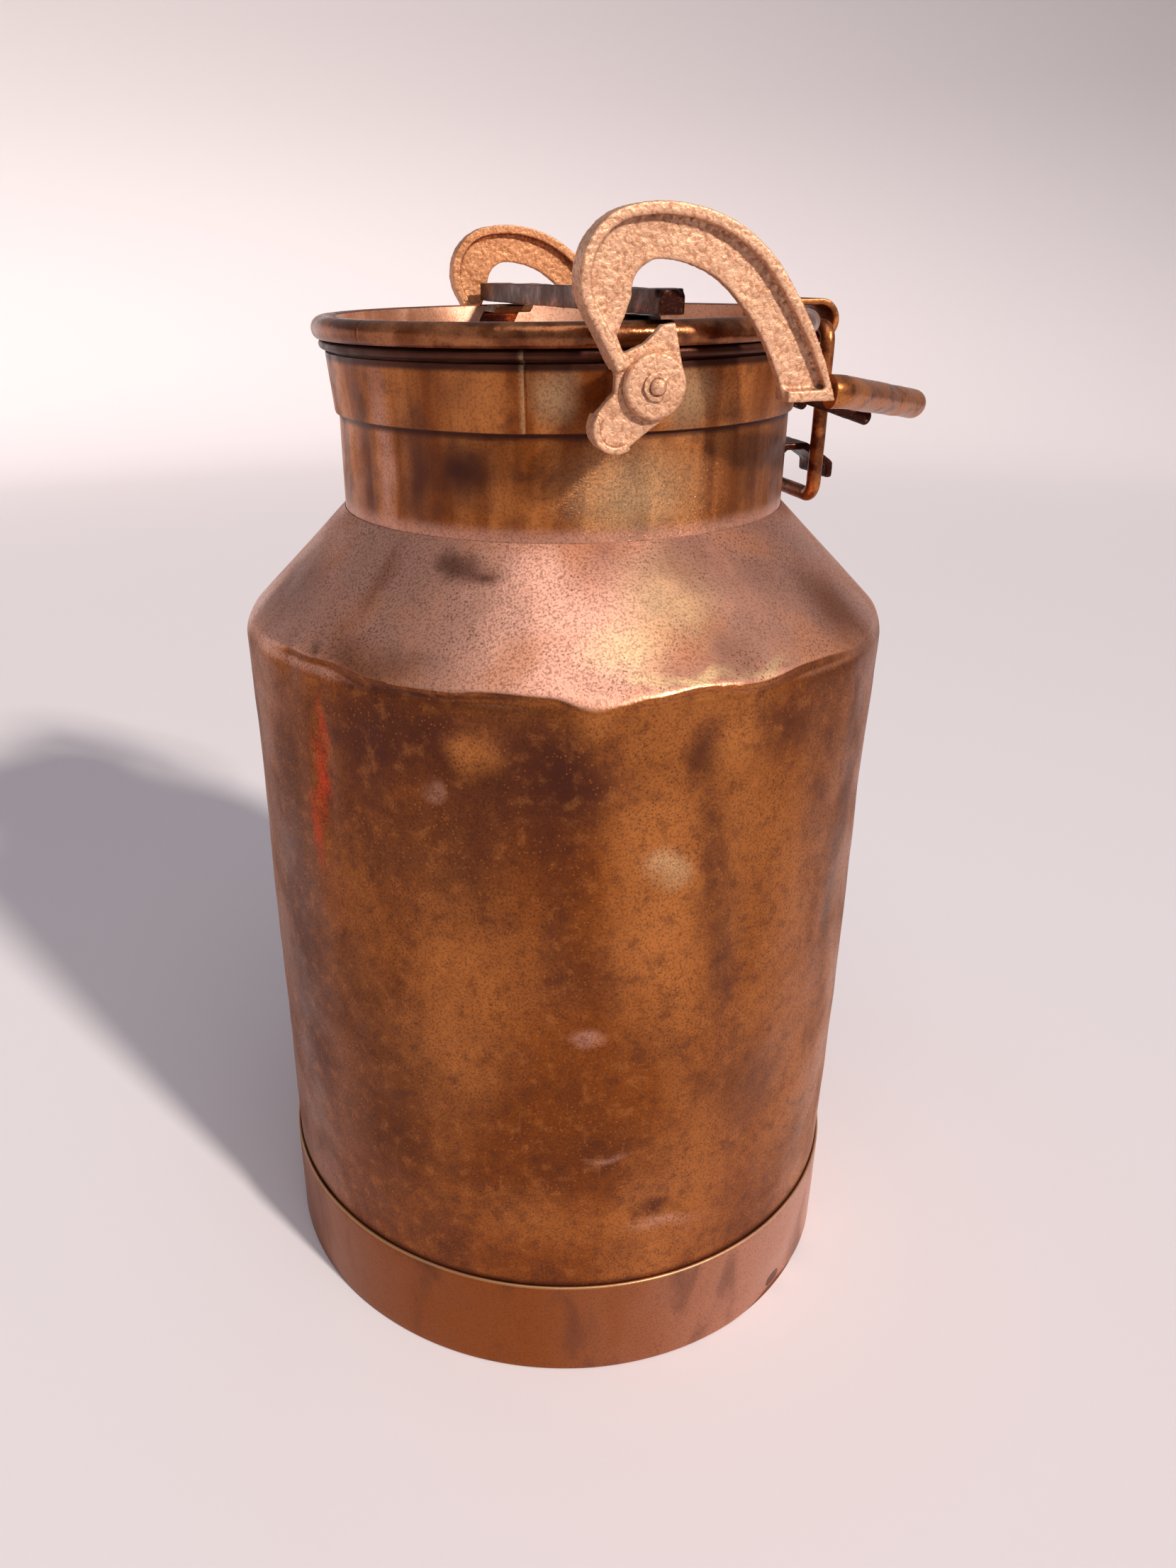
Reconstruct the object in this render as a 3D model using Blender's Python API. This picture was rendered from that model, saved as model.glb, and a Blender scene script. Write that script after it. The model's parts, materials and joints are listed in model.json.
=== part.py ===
"""Copper milk churn with a hinged lid, two cam levers and a bail handle.

Metres, +Z up. The origin is on the can's axis, on the surface it stands on.
+X points to the hinge at the back, -Y to the near lever and +Y to the far one.
"""
import math

import bmesh
import bpy
from mathutils import Matrix, Vector

# Clearances and general sizes
FIT_GAP = 0.0003            # between two pieces that touch
OVERRUN = 0.004             # how far a cut runs past what it cuts
SHEET = 0.0015              # sheet the can and the lid are made of

# Can
BARREL_RADIUS = 0.140
BARREL_SEAM_HEIGHT = 0.300  # weld between the barrel and the shoulder
SHOULDER_SKIRT = 0.0210     # straight stretch between the weld and the bend
SHOULDER_BEND_RADIUS = 0.014
SHOULDER_SLOPE = math.radians(45)
NECK_RADIUS = 0.0938
NECK_LENGTH = 0.0385        # straight stretch of the neck
NECK_LAP = 0.006            # how far the neck reaches into the shoulder
FLARE_RISE = 0.0262         # from the start of the flare to the rolled edge's centre
FLARE_OUT = 0.0047          # how far the rolled edge stands outside the neck
MOUTH_BEAD_RADIUS = 0.0019
COLLAR_DROP = 0.0032        # collar's top edge below the mouth bead's centre
COLLAR_THICKNESS = 0.0014
COLLAR_LAP_LENGTH = 0.014   # the strip's ends lap by this much
COLLAR_LAP_PROUD = 0.0008
COLLAR_LAP_ANGLE = math.radians(-121)
FOOT_HEIGHT = 0.052
FOOT_THICKNESS = 0.0014
FOOT_FLANGE_WIDTH = 0.010
FOOT_FLANGE_THICKNESS = 0.002
BOTTOM_PLATE_HEIGHT = 0.018
BOTTOM_BEND_RADIUS = 0.005
BOTTOM_SKIRT_CLEARANCE = 0.001

# Lid
RIM_BEAD_RADIUS = 0.0051    # rolled rim, over the mouth's bead
RIM_OPENING = math.radians(35)
SEAL_CLEARANCE = 0.0003
PAN_DEPTH = 0.024           # recess below the top of the rim
PAN_TAPER = 0.0036          # the plug narrows by this much on the radius
PAN_BEND_RADIUS = 0.004
PAN_LIP_DROP = 0.0010       # top edge of the pan below the rim's top

# Crossbar on the lid
BAR_WIDTH = 0.0102
BAR_HEIGHT = 0.0088
BAR_END_CLEARANCE = 0.0021  # each end stops this much short of the boss's face
BAR_SKEW = math.radians(5)  # the bar sits slightly askew on the lid
BAR_OVER_RIM = 0.0009
BAR_EDGE_BEVEL = 0.0012
LEG_WIDTH = 0.0180
LEG_THICKNESS = 0.0034
LEG_SET_IN = 0.0125         # middle of a leg inside the lid's wall
LEG_LEAN = math.radians(28)  # the legs are bent towards the front
LEG_FOOT_LENGTH = 0.0200
LEG_BEND_RADIUS = 0.0050
RIVET_SHANK_RADIUS = 0.0022
RIVET_HEAD_RADIUS = 0.0040
RIVET_HEAD_HEIGHT = 0.0020
RIVET_CLEARANCE = 0.0003
RIVET_EDGE = 0.0010         # rivet head to the end of a leg's foot

# Hinge at the back
EYE_OUT = 0.0095            # eye's centre outside the rim's centre line
EYE_STRIP = 0.0027
EYE_ROLL_RADIUS = 0.0074    # centre line of the rolled strip
EYE_ROLL_END = math.radians(-110)
EYE_WIDTH = 0.0280
EYE_TAB_BEND = 0.0035
EYE_TAB_FLOOR_GAP = 0.0060
LINK_WIRE_RADIUS = 0.00315
LINK_OUT_IN_EYE = 0.0010    # link's top run from the eye's centre
LINK_DROP_IN_EYE = 0.0022
LINK_HEIGHT = 0.0688        # between the link's top and bottom runs
LINK_BEND_RADIUS = 0.0060
HOOK_WIDTH = 0.0280
HOOK_THICKNESS = 0.0034
HOOK_ABOVE_LINK = 0.0220    # hook's top strap above the link's bottom run
HOOK_SHOULDER_SHARE = 0.10  # where the strap starts to slope, share of its reach
HOOK_SLOPE_DROP = 0.0075
HOOK_REACH = 0.0120         # hook's nose outside the link's bottom run
HOOK_NOSE_DROP = 0.0085
HOOK_BRACE_DROP = 0.0095

# Levers, handle and pivots
PIVOT_DROP = 0.0088         # pivot below the rolled mouth edge
TRUNNION_STANDOFF = 0.0101  # end face of the boss outside the rolled edge
TRUNNION_RADIUS = 0.0078
SHANK_RADIUS = 0.0034
BORE_CLEARANCE = 0.0004
PIN_HEAD_RADIUS = 0.0048
PIN_HEAD_HEIGHT = 0.0026
WASHER_RADIUS = 0.0107
WASHER_THICKNESS = 0.0034
WASHER_BEVEL = 0.0009
LEVER_DEPTH = 0.0110        # across the rib, along the pivot
WEB_THICKNESS = 0.0040
WEB_SET_BACK = 0.0036       # web's outer face behind the rib's outer face
RIB_WIDTH = 0.0037
RIB_PROUD = 0.0002          # rib stands this much outside the web's edge
ARM_OUTER_RADIUS = 0.0538
ARM_WIDTH = 0.0162
ARM_OUTER_END = math.radians(38)
ARM_INNER_END = math.radians(45)
ARM_INNER_START = math.radians(88)
HEEL_RADIUS = 0.0205
HEEL_START = math.radians(100)
HEEL_END = math.radians(208)
THROAT_RADIUS = 0.0092
THROAT_END = math.radians(190)
FOOT_SPREAD = 0.0100        # foot's outer corner outside the arm's outer arc
LEVER_FOOT_WIDTH = 0.0173
LEVER_FOOT_DROP = 0.0065
HUB_RADIUS = 0.0112
TAIL_RADIUS = 0.0082
TAIL_DISTANCE = 0.0180
TAIL_ANGLE = math.radians(226)
TAIL_RIB_WIDTH = 0.0024
WAIST_SIDE = 0.0130         # left side of the waist from the pivot
WAIST_HEIGHT = 0.0045
WAIST_BASE = 0.0015
THUMB_DISTANCE = 0.0203
THUMB_ANGLE = math.radians(70)
THUMB_BACK_SHARES = ((0.28, 0.20), (0.88, 0.35), (1.20, 0.52))
NOTCH_DISTANCE = 0.0146
NOTCH_ANGLE = math.radians(135)
NECKING_DISTANCE = 0.0200   # inner side of the waist
NECKING_ANGLE = math.radians(129)
GRIP_RADIUS = 0.0058
GRIP_STANDOFF = 0.0315      # grip outside the rolled mouth edge
GRIP_DROP = 0.0159          # grip below the pivot
GRIP_HALF_WIDTH = 0.0577
GRIP_ARM_DROP = 0.0041      # handle's ends below the pivot
GRIP_ARM_START = 0.0038     # first bend's corner from each end
GRIP_BEND_RADIUS = 0.0090
REST_RADIUS = 0.0032
REST_SPACING = 0.0300       # each rest from the middle
REST_SHORT = 0.0035         # rest's end inside the grip's centre
REST_FALL = math.radians(19)  # rests slope down from the collar

# Facets
BODY_FACETS = 60
SMALL_FACETS = 24
ROD_FACETS = 12
ROD_BEVEL_STEPS = 4
BEND_STEPS = 3
PATH_STEPS = 5
BEAD_STEPS = 6
RIM_STEPS = 11
ARC_STEPS = 8
SMOOTH_ANGLE = math.radians(40)

# Sizes worked out from the ones above
BARREL_INSIDE = BARREL_RADIUS - SHEET
SHOULDER_TOP_RADIUS = NECK_RADIUS + FIT_GAP
BEND_TANGENT = SHOULDER_BEND_RADIUS * math.tan((math.pi / 2 - SHOULDER_SLOPE) / 2)
BEND_HEIGHT = BARREL_SEAM_HEIGHT + FIT_GAP + SHOULDER_SKIRT
NECK_BASE_HEIGHT = BEND_HEIGHT + BEND_TANGENT + (BARREL_RADIUS - SHOULDER_TOP_RADIUS) * math.tan(SHOULDER_SLOPE)
FLARE_HEIGHT = NECK_BASE_HEIGHT + NECK_LENGTH
MOUTH_HEIGHT = FLARE_HEIGHT + FLARE_RISE
MOUTH_RADIUS = NECK_RADIUS + FLARE_OUT
PIVOT_HEIGHT = MOUTH_HEIGHT - PIVOT_DROP
TRUNNION_REACH = MOUTH_RADIUS + TRUNNION_STANDOFF
SEAL_RADIUS = RIM_BEAD_RADIUS - SHEET - SEAL_CLEARANCE
RIM_RADIUS = MOUTH_RADIUS
RIM_HEIGHT = MOUTH_HEIGHT + MOUTH_BEAD_RADIUS + FIT_GAP + SEAL_RADIUS
RIM_TOP = RIM_HEIGHT + RIM_BEAD_RADIUS
PAN_RADIUS = RIM_RADIUS - RIM_BEAD_RADIUS - FIT_GAP
PAN_FLOOR = RIM_TOP - PAN_DEPTH
BAR_BASE = RIM_TOP + BAR_OVER_RIM
BAR_LENGTH = 2 * (TRUNNION_REACH - BAR_END_CLEARANCE)
LEG_SPACING = PAN_RADIUS - LEG_SET_IN
EYE_CENTRE_OUT = MOUTH_RADIUS + EYE_OUT
EYE_CENTRE_HEIGHT = RIM_TOP + FIT_GAP + EYE_STRIP / 2 - EYE_ROLL_RADIUS
LINK_TOP = Vector((EYE_CENTRE_OUT + LINK_OUT_IN_EYE, 0, EYE_CENTRE_HEIGHT - LINK_DROP_IN_EYE))
LINK_BOTTOM = LINK_TOP - Vector((0, 0, LINK_HEIGHT))
LINK_HALF_WIDTH = EYE_WIDTH / 2 + LINK_BEND_RADIUS + FIT_GAP
LEVER_INNER_FACE = TRUNNION_REACH + FIT_GAP
LEVER_OUTER_FACE = LEVER_INNER_FACE + LEVER_DEPTH
ARM_INNER_RADIUS = ARM_OUTER_RADIUS - ARM_WIDTH
FOOT_OUTER_REACH = ARM_OUTER_RADIUS + FOOT_SPREAD
FOOT_INNER_REACH = FOOT_OUTER_REACH - LEVER_FOOT_WIDTH
WEB_OUTER_FACE = LEVER_OUTER_FACE - WEB_SET_BACK
WEB_INNER_FACE = WEB_OUTER_FACE - WEB_THICKNESS
GRIP_OUT = MOUTH_RADIUS + GRIP_STANDOFF
GRIP_HEIGHT = PIVOT_HEIGHT - GRIP_DROP
GRIP_ARM_HEIGHT = PIVOT_HEIGHT - GRIP_ARM_DROP
REST_REACH = GRIP_OUT - REST_SHORT
COLLAR_TOP = MOUTH_HEIGHT - COLLAR_DROP
MOUTH_WALL_RADIUS = MOUTH_RADIUS - MOUTH_BEAD_RADIUS
FLARE_SLOPE = (MOUTH_WALL_RADIUS - NECK_RADIUS) / (MOUTH_HEIGHT - FLARE_HEIGHT)
SIDES = {"near": -1, "far": 1}

COPPER = (0.62, 0.27, 0.13)
COPPER_DARK = (0.30, 0.12, 0.06)
CAST_COPPER = (0.70, 0.36, 0.20)
RUBBER = (0.05, 0.035, 0.03)


def clear_scene():
    for thing in list(bpy.data.objects):
        bpy.data.objects.remove(thing, do_unlink=True)


def finish(name, colour, roughness, metallic):
    """Material of a piece, made once for each name."""
    made = bpy.data.materials.get(name)
    if made is None:
        made = bpy.data.materials.new(name)
        made.use_nodes = True
        shader = made.node_tree.nodes["Principled BSDF"]
        shader.inputs["Base Color"].default_value = (*colour, 1)
        shader.inputs["Roughness"].default_value = roughness
        shader.inputs["Metallic"].default_value = metallic
    return made


def copper():
    return finish("aged_copper", COPPER, 0.34, 1)


def dark_copper():
    return finish("dark_copper", COPPER_DARK, 0.5, 1)


def cast_copper():
    return finish("cast_copper", CAST_COPPER, 0.55, 1)


def rubber():
    return finish("seal_rubber", RUBBER, 0.8, 0)


def add_object(name, data, material, axis=None):
    """Link a new object, on its joint's axis empty where it has one."""
    made = bpy.data.objects.new(name, data)
    bpy.context.scene.collection.objects.link(made)
    made.data.materials.append(material)
    if axis is not None:
        made.parent = axis
        made.matrix_parent_inverse = Matrix.Translation(-axis.location)
    return made


def add_axis(name, place):
    made = bpy.data.objects.new(name, None)
    made.location = place
    bpy.context.scene.collection.objects.link(made)
    return made


def mesh_from(name, shape):
    """Turn a bmesh into a mesh with outward faces and smooth round sides."""
    bmesh.ops.recalc_face_normals(shape, faces=shape.faces)
    data = bpy.data.meshes.new(name)
    shape.to_mesh(data)
    shape.free()
    data.shade_smooth()
    data.set_sharp_from_angle(angle=SMOOTH_ANGLE)
    return data


def helper(made):
    """Hide an object that only cuts or joins another one."""
    made.hide_render = True
    made.display_type = "WIRE"
    return made


def combine(target, tool, operation):
    step = target.modifiers.new(operation.lower(), "BOOLEAN")
    step.operation = operation
    step.solver = "EXACT"
    step.object = helper(tool)


def arc(centre, radius, start, end, steps):
    """Points of an arc in a plane, both ends included."""
    points = []
    for i in range(steps + 1):
        angle = start + (end - start) * i / steps
        points.append((centre[0] + radius * math.cos(angle), centre[1] + radius * math.sin(angle)))
    return points


def polar(distance, angle):
    return (distance * math.cos(angle), distance * math.sin(angle))


def offset_line(points, distance):
    """The same line shifted to its right-hand side, with mitred corners."""
    shifted = []
    for i, point in enumerate(points):
        here = Vector(point)
        before = Vector(points[i - 1]) if i > 0 else None
        after = Vector(points[i + 1]) if i + 1 < len(points) else None
        sides = []
        for a, b in ((before, here), (here, after)):
            if a is not None and b is not None:
                along = (b - a).normalized()
                sides.append(Vector((along.y, -along.x)))
        normal = sum(sides, Vector((0, 0))).normalized()
        shifted.append(tuple(here + normal * (distance / normal.dot(sides[0]))))
    return shifted


def sheet_profile(outer, thickness):
    """Closed outline of a bent sheet, from its outer line and thickness."""
    return outer + offset_line(outer, thickness)[::-1]


def turned(name, profile, facets, start=0, sweep=math.tau):
    """Mesh of a closed (radius, height) outline turned about the Z axis."""
    shape = bmesh.new()
    whole = sweep == math.tau
    count = facets if whole else facets + 1
    rings = []
    for radius, height in profile:
        if abs(radius) < FIT_GAP / 10:
            rings.append([shape.verts.new((0, 0, height))] * count)
            continue
        ring = []
        for i in range(count):
            angle = start + sweep * i / facets
            ring.append(shape.verts.new((radius * math.cos(angle), radius * math.sin(angle), height)))
        rings.append(ring)
    if not whole:
        shape.faces.new([ring[0] for ring in rings])
        shape.faces.new([ring[-1] for ring in rings])
    for here, following in zip(rings, rings[1:] + rings[:1]):
        for i in range(facets):
            j = (i + 1) % count
            corners = []
            for corner in (here[i], here[j], following[j], following[i]):
                if corner not in corners:
                    corners.append(corner)
            if len(corners) > 2:
                shape.faces.new(corners)
    return mesh_from(name, shape)


def extruded(name, outline, start, end):
    """Mesh of an (x, z) outline pushed along Y from start to end."""
    shape = bmesh.new()
    corners = [shape.verts.new((x, start, z)) for x, z in outline]
    face = shape.faces.new(corners)
    grown = bmesh.ops.extrude_face_region(shape, geom=[face])["geom"]
    moved = [item for item in grown if isinstance(item, bmesh.types.BMVert)]
    bmesh.ops.translate(shape, verts=moved, vec=(0, end - start, 0))
    return mesh_from(name, shape)


def round_bar(name, radius, start, end, facets, bevel=0):
    """Mesh of a cylinder between two points, with a bevelled far end."""
    start = Vector(start)
    along = Vector(end) - start
    profile = [(0, 0), (radius, 0), (radius, along.length - bevel)]
    if bevel:
        profile.append((radius - bevel, along.length))
    profile.append((0, along.length))
    data = turned(name, profile, facets)
    turn = Vector((0, 0, 1)).rotation_difference(along.normalized()).to_matrix().to_4x4()
    data.transform(Matrix.Translation(start) @ turn)
    return data


def rivet(name, radius, head_radius, head_height, start, head_base, facets=ROD_FACETS):
    """Mesh of a domed rivet: its shank starts at start, its head at head_base."""
    start = Vector(start)
    along = Vector(head_base) - start
    length = along.length
    profile = [(0, 0), (radius, 0), (radius, length)]
    dome = arc((0, length), 1, 0, math.pi / 2, BEND_STEPS)
    profile += [(x * head_radius, length + (z - length) * head_height) for x, z in dome]
    data = turned(name, profile, facets)
    turn = Vector((0, 0, 1)).rotation_difference(along.normalized()).to_matrix().to_4x4()
    data.transform(Matrix.Translation(start) @ turn)
    return data


def join_meshes(name, parts):
    """One mesh that holds several separate solids."""
    shape = bmesh.new()
    for part in parts:
        shape.from_mesh(part)
    data = bpy.data.meshes.new(name)
    shape.to_mesh(data)
    shape.free()
    for part in parts:
        bpy.data.meshes.remove(part)
    return data


def rounded_path(corners, radius, closed=False):
    """Points along straight runs whose corners are rounded."""
    corners = [Vector(corner) for corner in corners]
    count = len(corners)
    points = []
    for i, corner in enumerate(corners):
        if not closed and i in (0, count - 1):
            points.append(corner)
            continue
        back = (corners[i - 1] - corner).normalized()
        ahead = (corners[(i + 1) % count] - corner).normalized()
        half = back.angle(ahead) / 2
        reach = radius / math.tan(half)
        centre = corner + (back + ahead).normalized() * (radius / math.sin(half))
        start = corner + back * reach - centre
        sweep = math.pi - 2 * half
        side = (corner + ahead * reach - centre - start * math.cos(sweep)) / math.sin(sweep)
        for step in range(PATH_STEPS + 1):
            turn = sweep * step / PATH_STEPS
            points.append(centre + start * math.cos(turn) + side * math.sin(turn))
    return points


def rod(name, points, radius, material, axis=None, closed=False):
    """A round rod along a path, as a curve with a bevel and filled caps."""
    data = bpy.data.curves.new(name, "CURVE")
    data.dimensions = "3D"
    data.bevel_depth = radius
    data.bevel_resolution = ROD_BEVEL_STEPS
    data.use_fill_caps = True
    line = data.splines.new("POLY")
    line.points.add(len(points) - 1)
    for slot, point in zip(line.points, points):
        slot.co = (*point, 1)
    line.use_cyclic_u = closed
    return add_object(name, data, material, axis)


def neck_outside(height):
    """Outer radius of the neck's wall at a height."""
    return NECK_RADIUS + FLARE_SLOPE * max(0, height - FLARE_HEIGHT)


def collar_outside(height):
    return neck_outside(height) + FIT_GAP + COLLAR_THICKNESS


# The can

def foot_hoop():
    """Strip round the bottom, turned in under the barrel to stand on."""
    outside = BARREL_RADIUS + FIT_GAP + FOOT_THICKNESS
    inside = BARREL_RADIUS + FIT_GAP
    flange_inside = outside - FOOT_FLANGE_WIDTH
    profile = [
        (outside, FOOT_HEIGHT), (outside, 0), (flange_inside, 0),
        (flange_inside, FOOT_FLANGE_THICKNESS), (inside, FOOT_FLANGE_THICKNESS), (inside, FOOT_HEIGHT),
    ]
    return add_object("foot_hoop", turned("foot_hoop", profile, BODY_FACETS), copper())


def bottom_plate():
    """Dished plate with a skirt turned down inside the barrel."""
    outside = BARREL_INSIDE - FIT_GAP
    skirt_end = FOOT_FLANGE_THICKNESS + BOTTOM_SKIRT_CLEARANCE
    bend = (outside - BOTTOM_BEND_RADIUS, BOTTOM_PLATE_HEIGHT - BOTTOM_BEND_RADIUS)
    outer = [(0, BOTTOM_PLATE_HEIGHT)]
    outer += arc(bend, BOTTOM_BEND_RADIUS, math.pi / 2, 0, BEND_STEPS)
    outer.append((outside, skirt_end))
    data = turned("bottom_plate", sheet_profile(outer, SHEET), BODY_FACETS)
    return add_object("bottom_plate", data, copper())


def barrel():
    """Straight cylinder from the foot to the shoulder's weld."""
    base = FOOT_FLANGE_THICKNESS + FIT_GAP
    outer = [(BARREL_RADIUS, BARREL_SEAM_HEIGHT), (BARREL_RADIUS, base)]
    return add_object("barrel", turned("barrel", sheet_profile(outer, SHEET), BODY_FACETS), copper())


def shoulder():
    """Short cylinder, rounded bend and cone up to the neck."""
    centre = (BARREL_RADIUS - SHOULDER_BEND_RADIUS, BEND_HEIGHT)
    outer = [(SHOULDER_TOP_RADIUS, NECK_BASE_HEIGHT)]
    outer += arc(centre, SHOULDER_BEND_RADIUS, math.pi / 2 - SHOULDER_SLOPE, 0, BEND_STEPS)
    outer.append((BARREL_RADIUS, BARREL_SEAM_HEIGHT + FIT_GAP))
    profile = sheet_profile(outer, SHEET)
    slid = (SHOULDER_TOP_RADIUS - profile[-1][0]) * math.tan(SHOULDER_SLOPE)
    profile[-1] = (SHOULDER_TOP_RADIUS, profile[-1][1] - slid)
    return add_object("shoulder", turned("shoulder", profile, BODY_FACETS), copper())


def neck():
    """Tube that flares to the mouth, with a rolled edge round its top."""
    bead = (MOUTH_RADIUS, MOUTH_HEIGHT)
    wall_inside = MOUTH_WALL_RADIUS - SHEET
    base = NECK_BASE_HEIGHT - NECK_LAP
    open_side = math.radians(135)
    profile = arc(bead, MOUTH_BEAD_RADIUS, open_side, -open_side, BEAD_STEPS)
    bead_base = MOUTH_HEIGHT - MOUTH_BEAD_RADIUS
    profile.append((neck_outside(bead_base), bead_base))
    profile += [(NECK_RADIUS, FLARE_HEIGHT), (NECK_RADIUS, base), (NECK_RADIUS - SHEET, base)]
    profile += [(NECK_RADIUS - SHEET, FLARE_HEIGHT), (wall_inside, MOUTH_HEIGHT)]
    return add_object("neck", turned("neck", profile, BODY_FACETS), copper())


def collar_band():
    """Reinforcing strip round the flare, its ends lapped and soldered."""
    outer = [(collar_outside(COLLAR_TOP), COLLAR_TOP), (collar_outside(FLARE_HEIGHT), FLARE_HEIGHT)]
    profile = sheet_profile(outer, COLLAR_THICKNESS)
    band = add_object("collar_band", turned("collar_band", profile, BODY_FACETS), copper())
    lap_outer = [(radius + COLLAR_LAP_PROUD, height) for radius, height in outer]
    lap_profile = sheet_profile(lap_outer, COLLAR_LAP_PROUD + COLLAR_THICKNESS / 2)
    inset = COLLAR_THICKNESS / 4
    middle = (COLLAR_TOP + FLARE_HEIGHT) / 2
    lap_profile = [(radius, height + (inset if height < middle else -inset)) for radius, height in lap_profile]
    sweep = COLLAR_LAP_LENGTH / collar_outside(FLARE_HEIGHT)
    lap = turned("collar_lap", lap_profile, BEND_STEPS, COLLAR_LAP_ANGLE, sweep)
    combine(band, add_object("collar_lap", lap, copper()), "UNION")
    return band


def trunnion(side):
    """Boss on the collar that carries a lever's pivot pin."""
    sign = SIDES[side]
    boss = add_object(
        f"trunnion_{side}",
        round_bar("trunnion", TRUNNION_RADIUS, (0, sign * NECK_RADIUS, PIVOT_HEIGHT),
                  (0, sign * TRUNNION_REACH, PIVOT_HEIGHT), SMALL_FACETS, WASHER_BEVEL),
        cast_copper())
    seat_base = PIVOT_HEIGHT - TRUNNION_RADIUS - OVERRUN
    bead_base = MOUTH_HEIGHT - MOUTH_BEAD_RADIUS - FIT_GAP
    bead_side = MOUTH_RADIUS + MOUTH_BEAD_RADIUS + FIT_GAP
    seat = [
        (0, seat_base), (collar_outside(seat_base) + FIT_GAP, seat_base),
        (collar_outside(bead_base) + FIT_GAP, bead_base), (bead_side, bead_base),
        (bead_side, RIM_TOP), (0, RIM_TOP),
    ]
    seat_data = turned("trunnion_seat", seat, BODY_FACETS * 2)
    combine(boss, add_object(f"trunnion_seat_{side}", seat_data, copper()), "DIFFERENCE")
    bore = round_bar("trunnion_bore", SHANK_RADIUS + BORE_CLEARANCE, (0, 0, PIVOT_HEIGHT),
                     (0, sign * (TRUNNION_REACH + OVERRUN), PIVOT_HEIGHT), SMALL_FACETS)
    combine(boss, add_object(f"trunnion_bore_{side}", bore, copper()), "DIFFERENCE")
    return boss


def pivot_pin(side):
    """Rivet through the washer, the lever and the trunnion."""
    sign = SIDES[side]
    start = collar_outside(PIVOT_HEIGHT + SHANK_RADIUS) + 2 * FIT_GAP
    head_base = WEB_OUTER_FACE + WASHER_THICKNESS + 2 * FIT_GAP
    data = rivet("pivot_pin", SHANK_RADIUS, PIN_HEAD_RADIUS, PIN_HEAD_HEIGHT,
                 (0, sign * start, PIVOT_HEIGHT), (0, sign * head_base, PIVOT_HEIGHT), SMALL_FACETS)
    return add_object(f"pivot_pin_{side}", data, cast_copper())


def washer(side):
    """Thick bevelled washer between a lever and its rivet head."""
    inner = SHANK_RADIUS + BORE_CLEARANCE
    profile = [
        (inner, 0), (WASHER_RADIUS, 0), (WASHER_RADIUS, WASHER_THICKNESS - WASHER_BEVEL),
        (WASHER_RADIUS - WASHER_BEVEL, WASHER_THICKNESS), (inner, WASHER_THICKNESS),
    ]
    data = turned("washer", profile, SMALL_FACETS)
    sign = SIDES[side]
    place = Matrix.Translation((0, sign * (WEB_OUTER_FACE + FIT_GAP), PIVOT_HEIGHT))
    data.transform(place @ Matrix.Rotation(-sign * math.pi / 2, 4, "X"))
    return add_object(f"washer_{side}", data, cast_copper())


def hinge_hook():
    """Hooked strap on the neck that the hinge link is caught under."""
    top = LINK_BOTTOM.z + HOOK_ABOVE_LINK
    nose = LINK_BOTTOM.x + HOOK_REACH
    root = NECK_RADIUS / 2
    bend = LINK_BOTTOM.x - HOOK_SHOULDER_SHARE * HOOK_REACH
    outer = [
        (root, top), (bend, top), (nose - HOOK_THICKNESS / 2, top - HOOK_SLOPE_DROP),
        (nose, top - HOOK_SLOPE_DROP - HOOK_THICKNESS / 2), (nose, top - HOOK_SLOPE_DROP - HOOK_NOSE_DROP),
    ]
    outline = outer + offset_line(outer, HOOK_THICKNESS)[::-1]
    data = extruded("hinge_hook", outline, -HOOK_WIDTH / 2, HOOK_WIDTH / 2)
    hook = add_object("hinge_hook", data, dark_copper())
    brace_top = top - HOOK_THICKNESS / 2
    brace = [
        (root, brace_top), (NECK_RADIUS + HOOK_BRACE_DROP, brace_top),
        (NECK_RADIUS, brace_top - HOOK_BRACE_DROP), (root, brace_top - HOOK_BRACE_DROP),
    ]
    brace_data = extruded("hinge_hook_brace", brace, -HOOK_WIDTH / 3, HOOK_WIDTH / 3)
    combine(hook, add_object("hinge_hook_brace", brace_data, copper()), "UNION")
    combine(hook, neck_cutter("hinge_hook_seat"), "DIFFERENCE")
    return hook


def neck_cutter(name):
    """Solid of the neck with its fitting gap, to seat pieces against it."""
    radius = NECK_RADIUS + FIT_GAP
    base = NECK_BASE_HEIGHT - OVERRUN
    profile = [
        (0, base), (radius, base), (radius, FLARE_HEIGHT - FIT_GAP),
        (collar_outside(FLARE_HEIGHT) + FIT_GAP, FLARE_HEIGHT - FIT_GAP),
        (collar_outside(COLLAR_TOP) + FIT_GAP, COLLAR_TOP), (0, COLLAR_TOP),
    ]
    return add_object(name, turned(name, profile, BODY_FACETS * 2), copper())


def grip_rest(side):
    """Peg on the collar, sloping down, that the lowered grip lies on."""
    apart = GRIP_RADIUS + FIT_GAP + REST_RADIUS
    under = Vector((GRIP_OUT - apart * math.sin(REST_FALL), SIDES[side] * REST_SPACING,
                    GRIP_HEIGHT - apart * math.cos(REST_FALL)))
    fall = Vector((1, 0, -math.tan(REST_FALL)))
    start = under + fall * (NECK_RADIUS * 0.8 - under.x)
    end = under + fall * (REST_REACH - under.x)
    peg = round_bar("grip_rest", REST_RADIUS, start, end, ROD_FACETS, REST_RADIUS / 3)
    rest = add_object(f"grip_rest_{side}", peg, dark_copper())
    combine(rest, neck_cutter(f"grip_rest_seat_{side}"), "DIFFERENCE")
    return rest


# The lid

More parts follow.
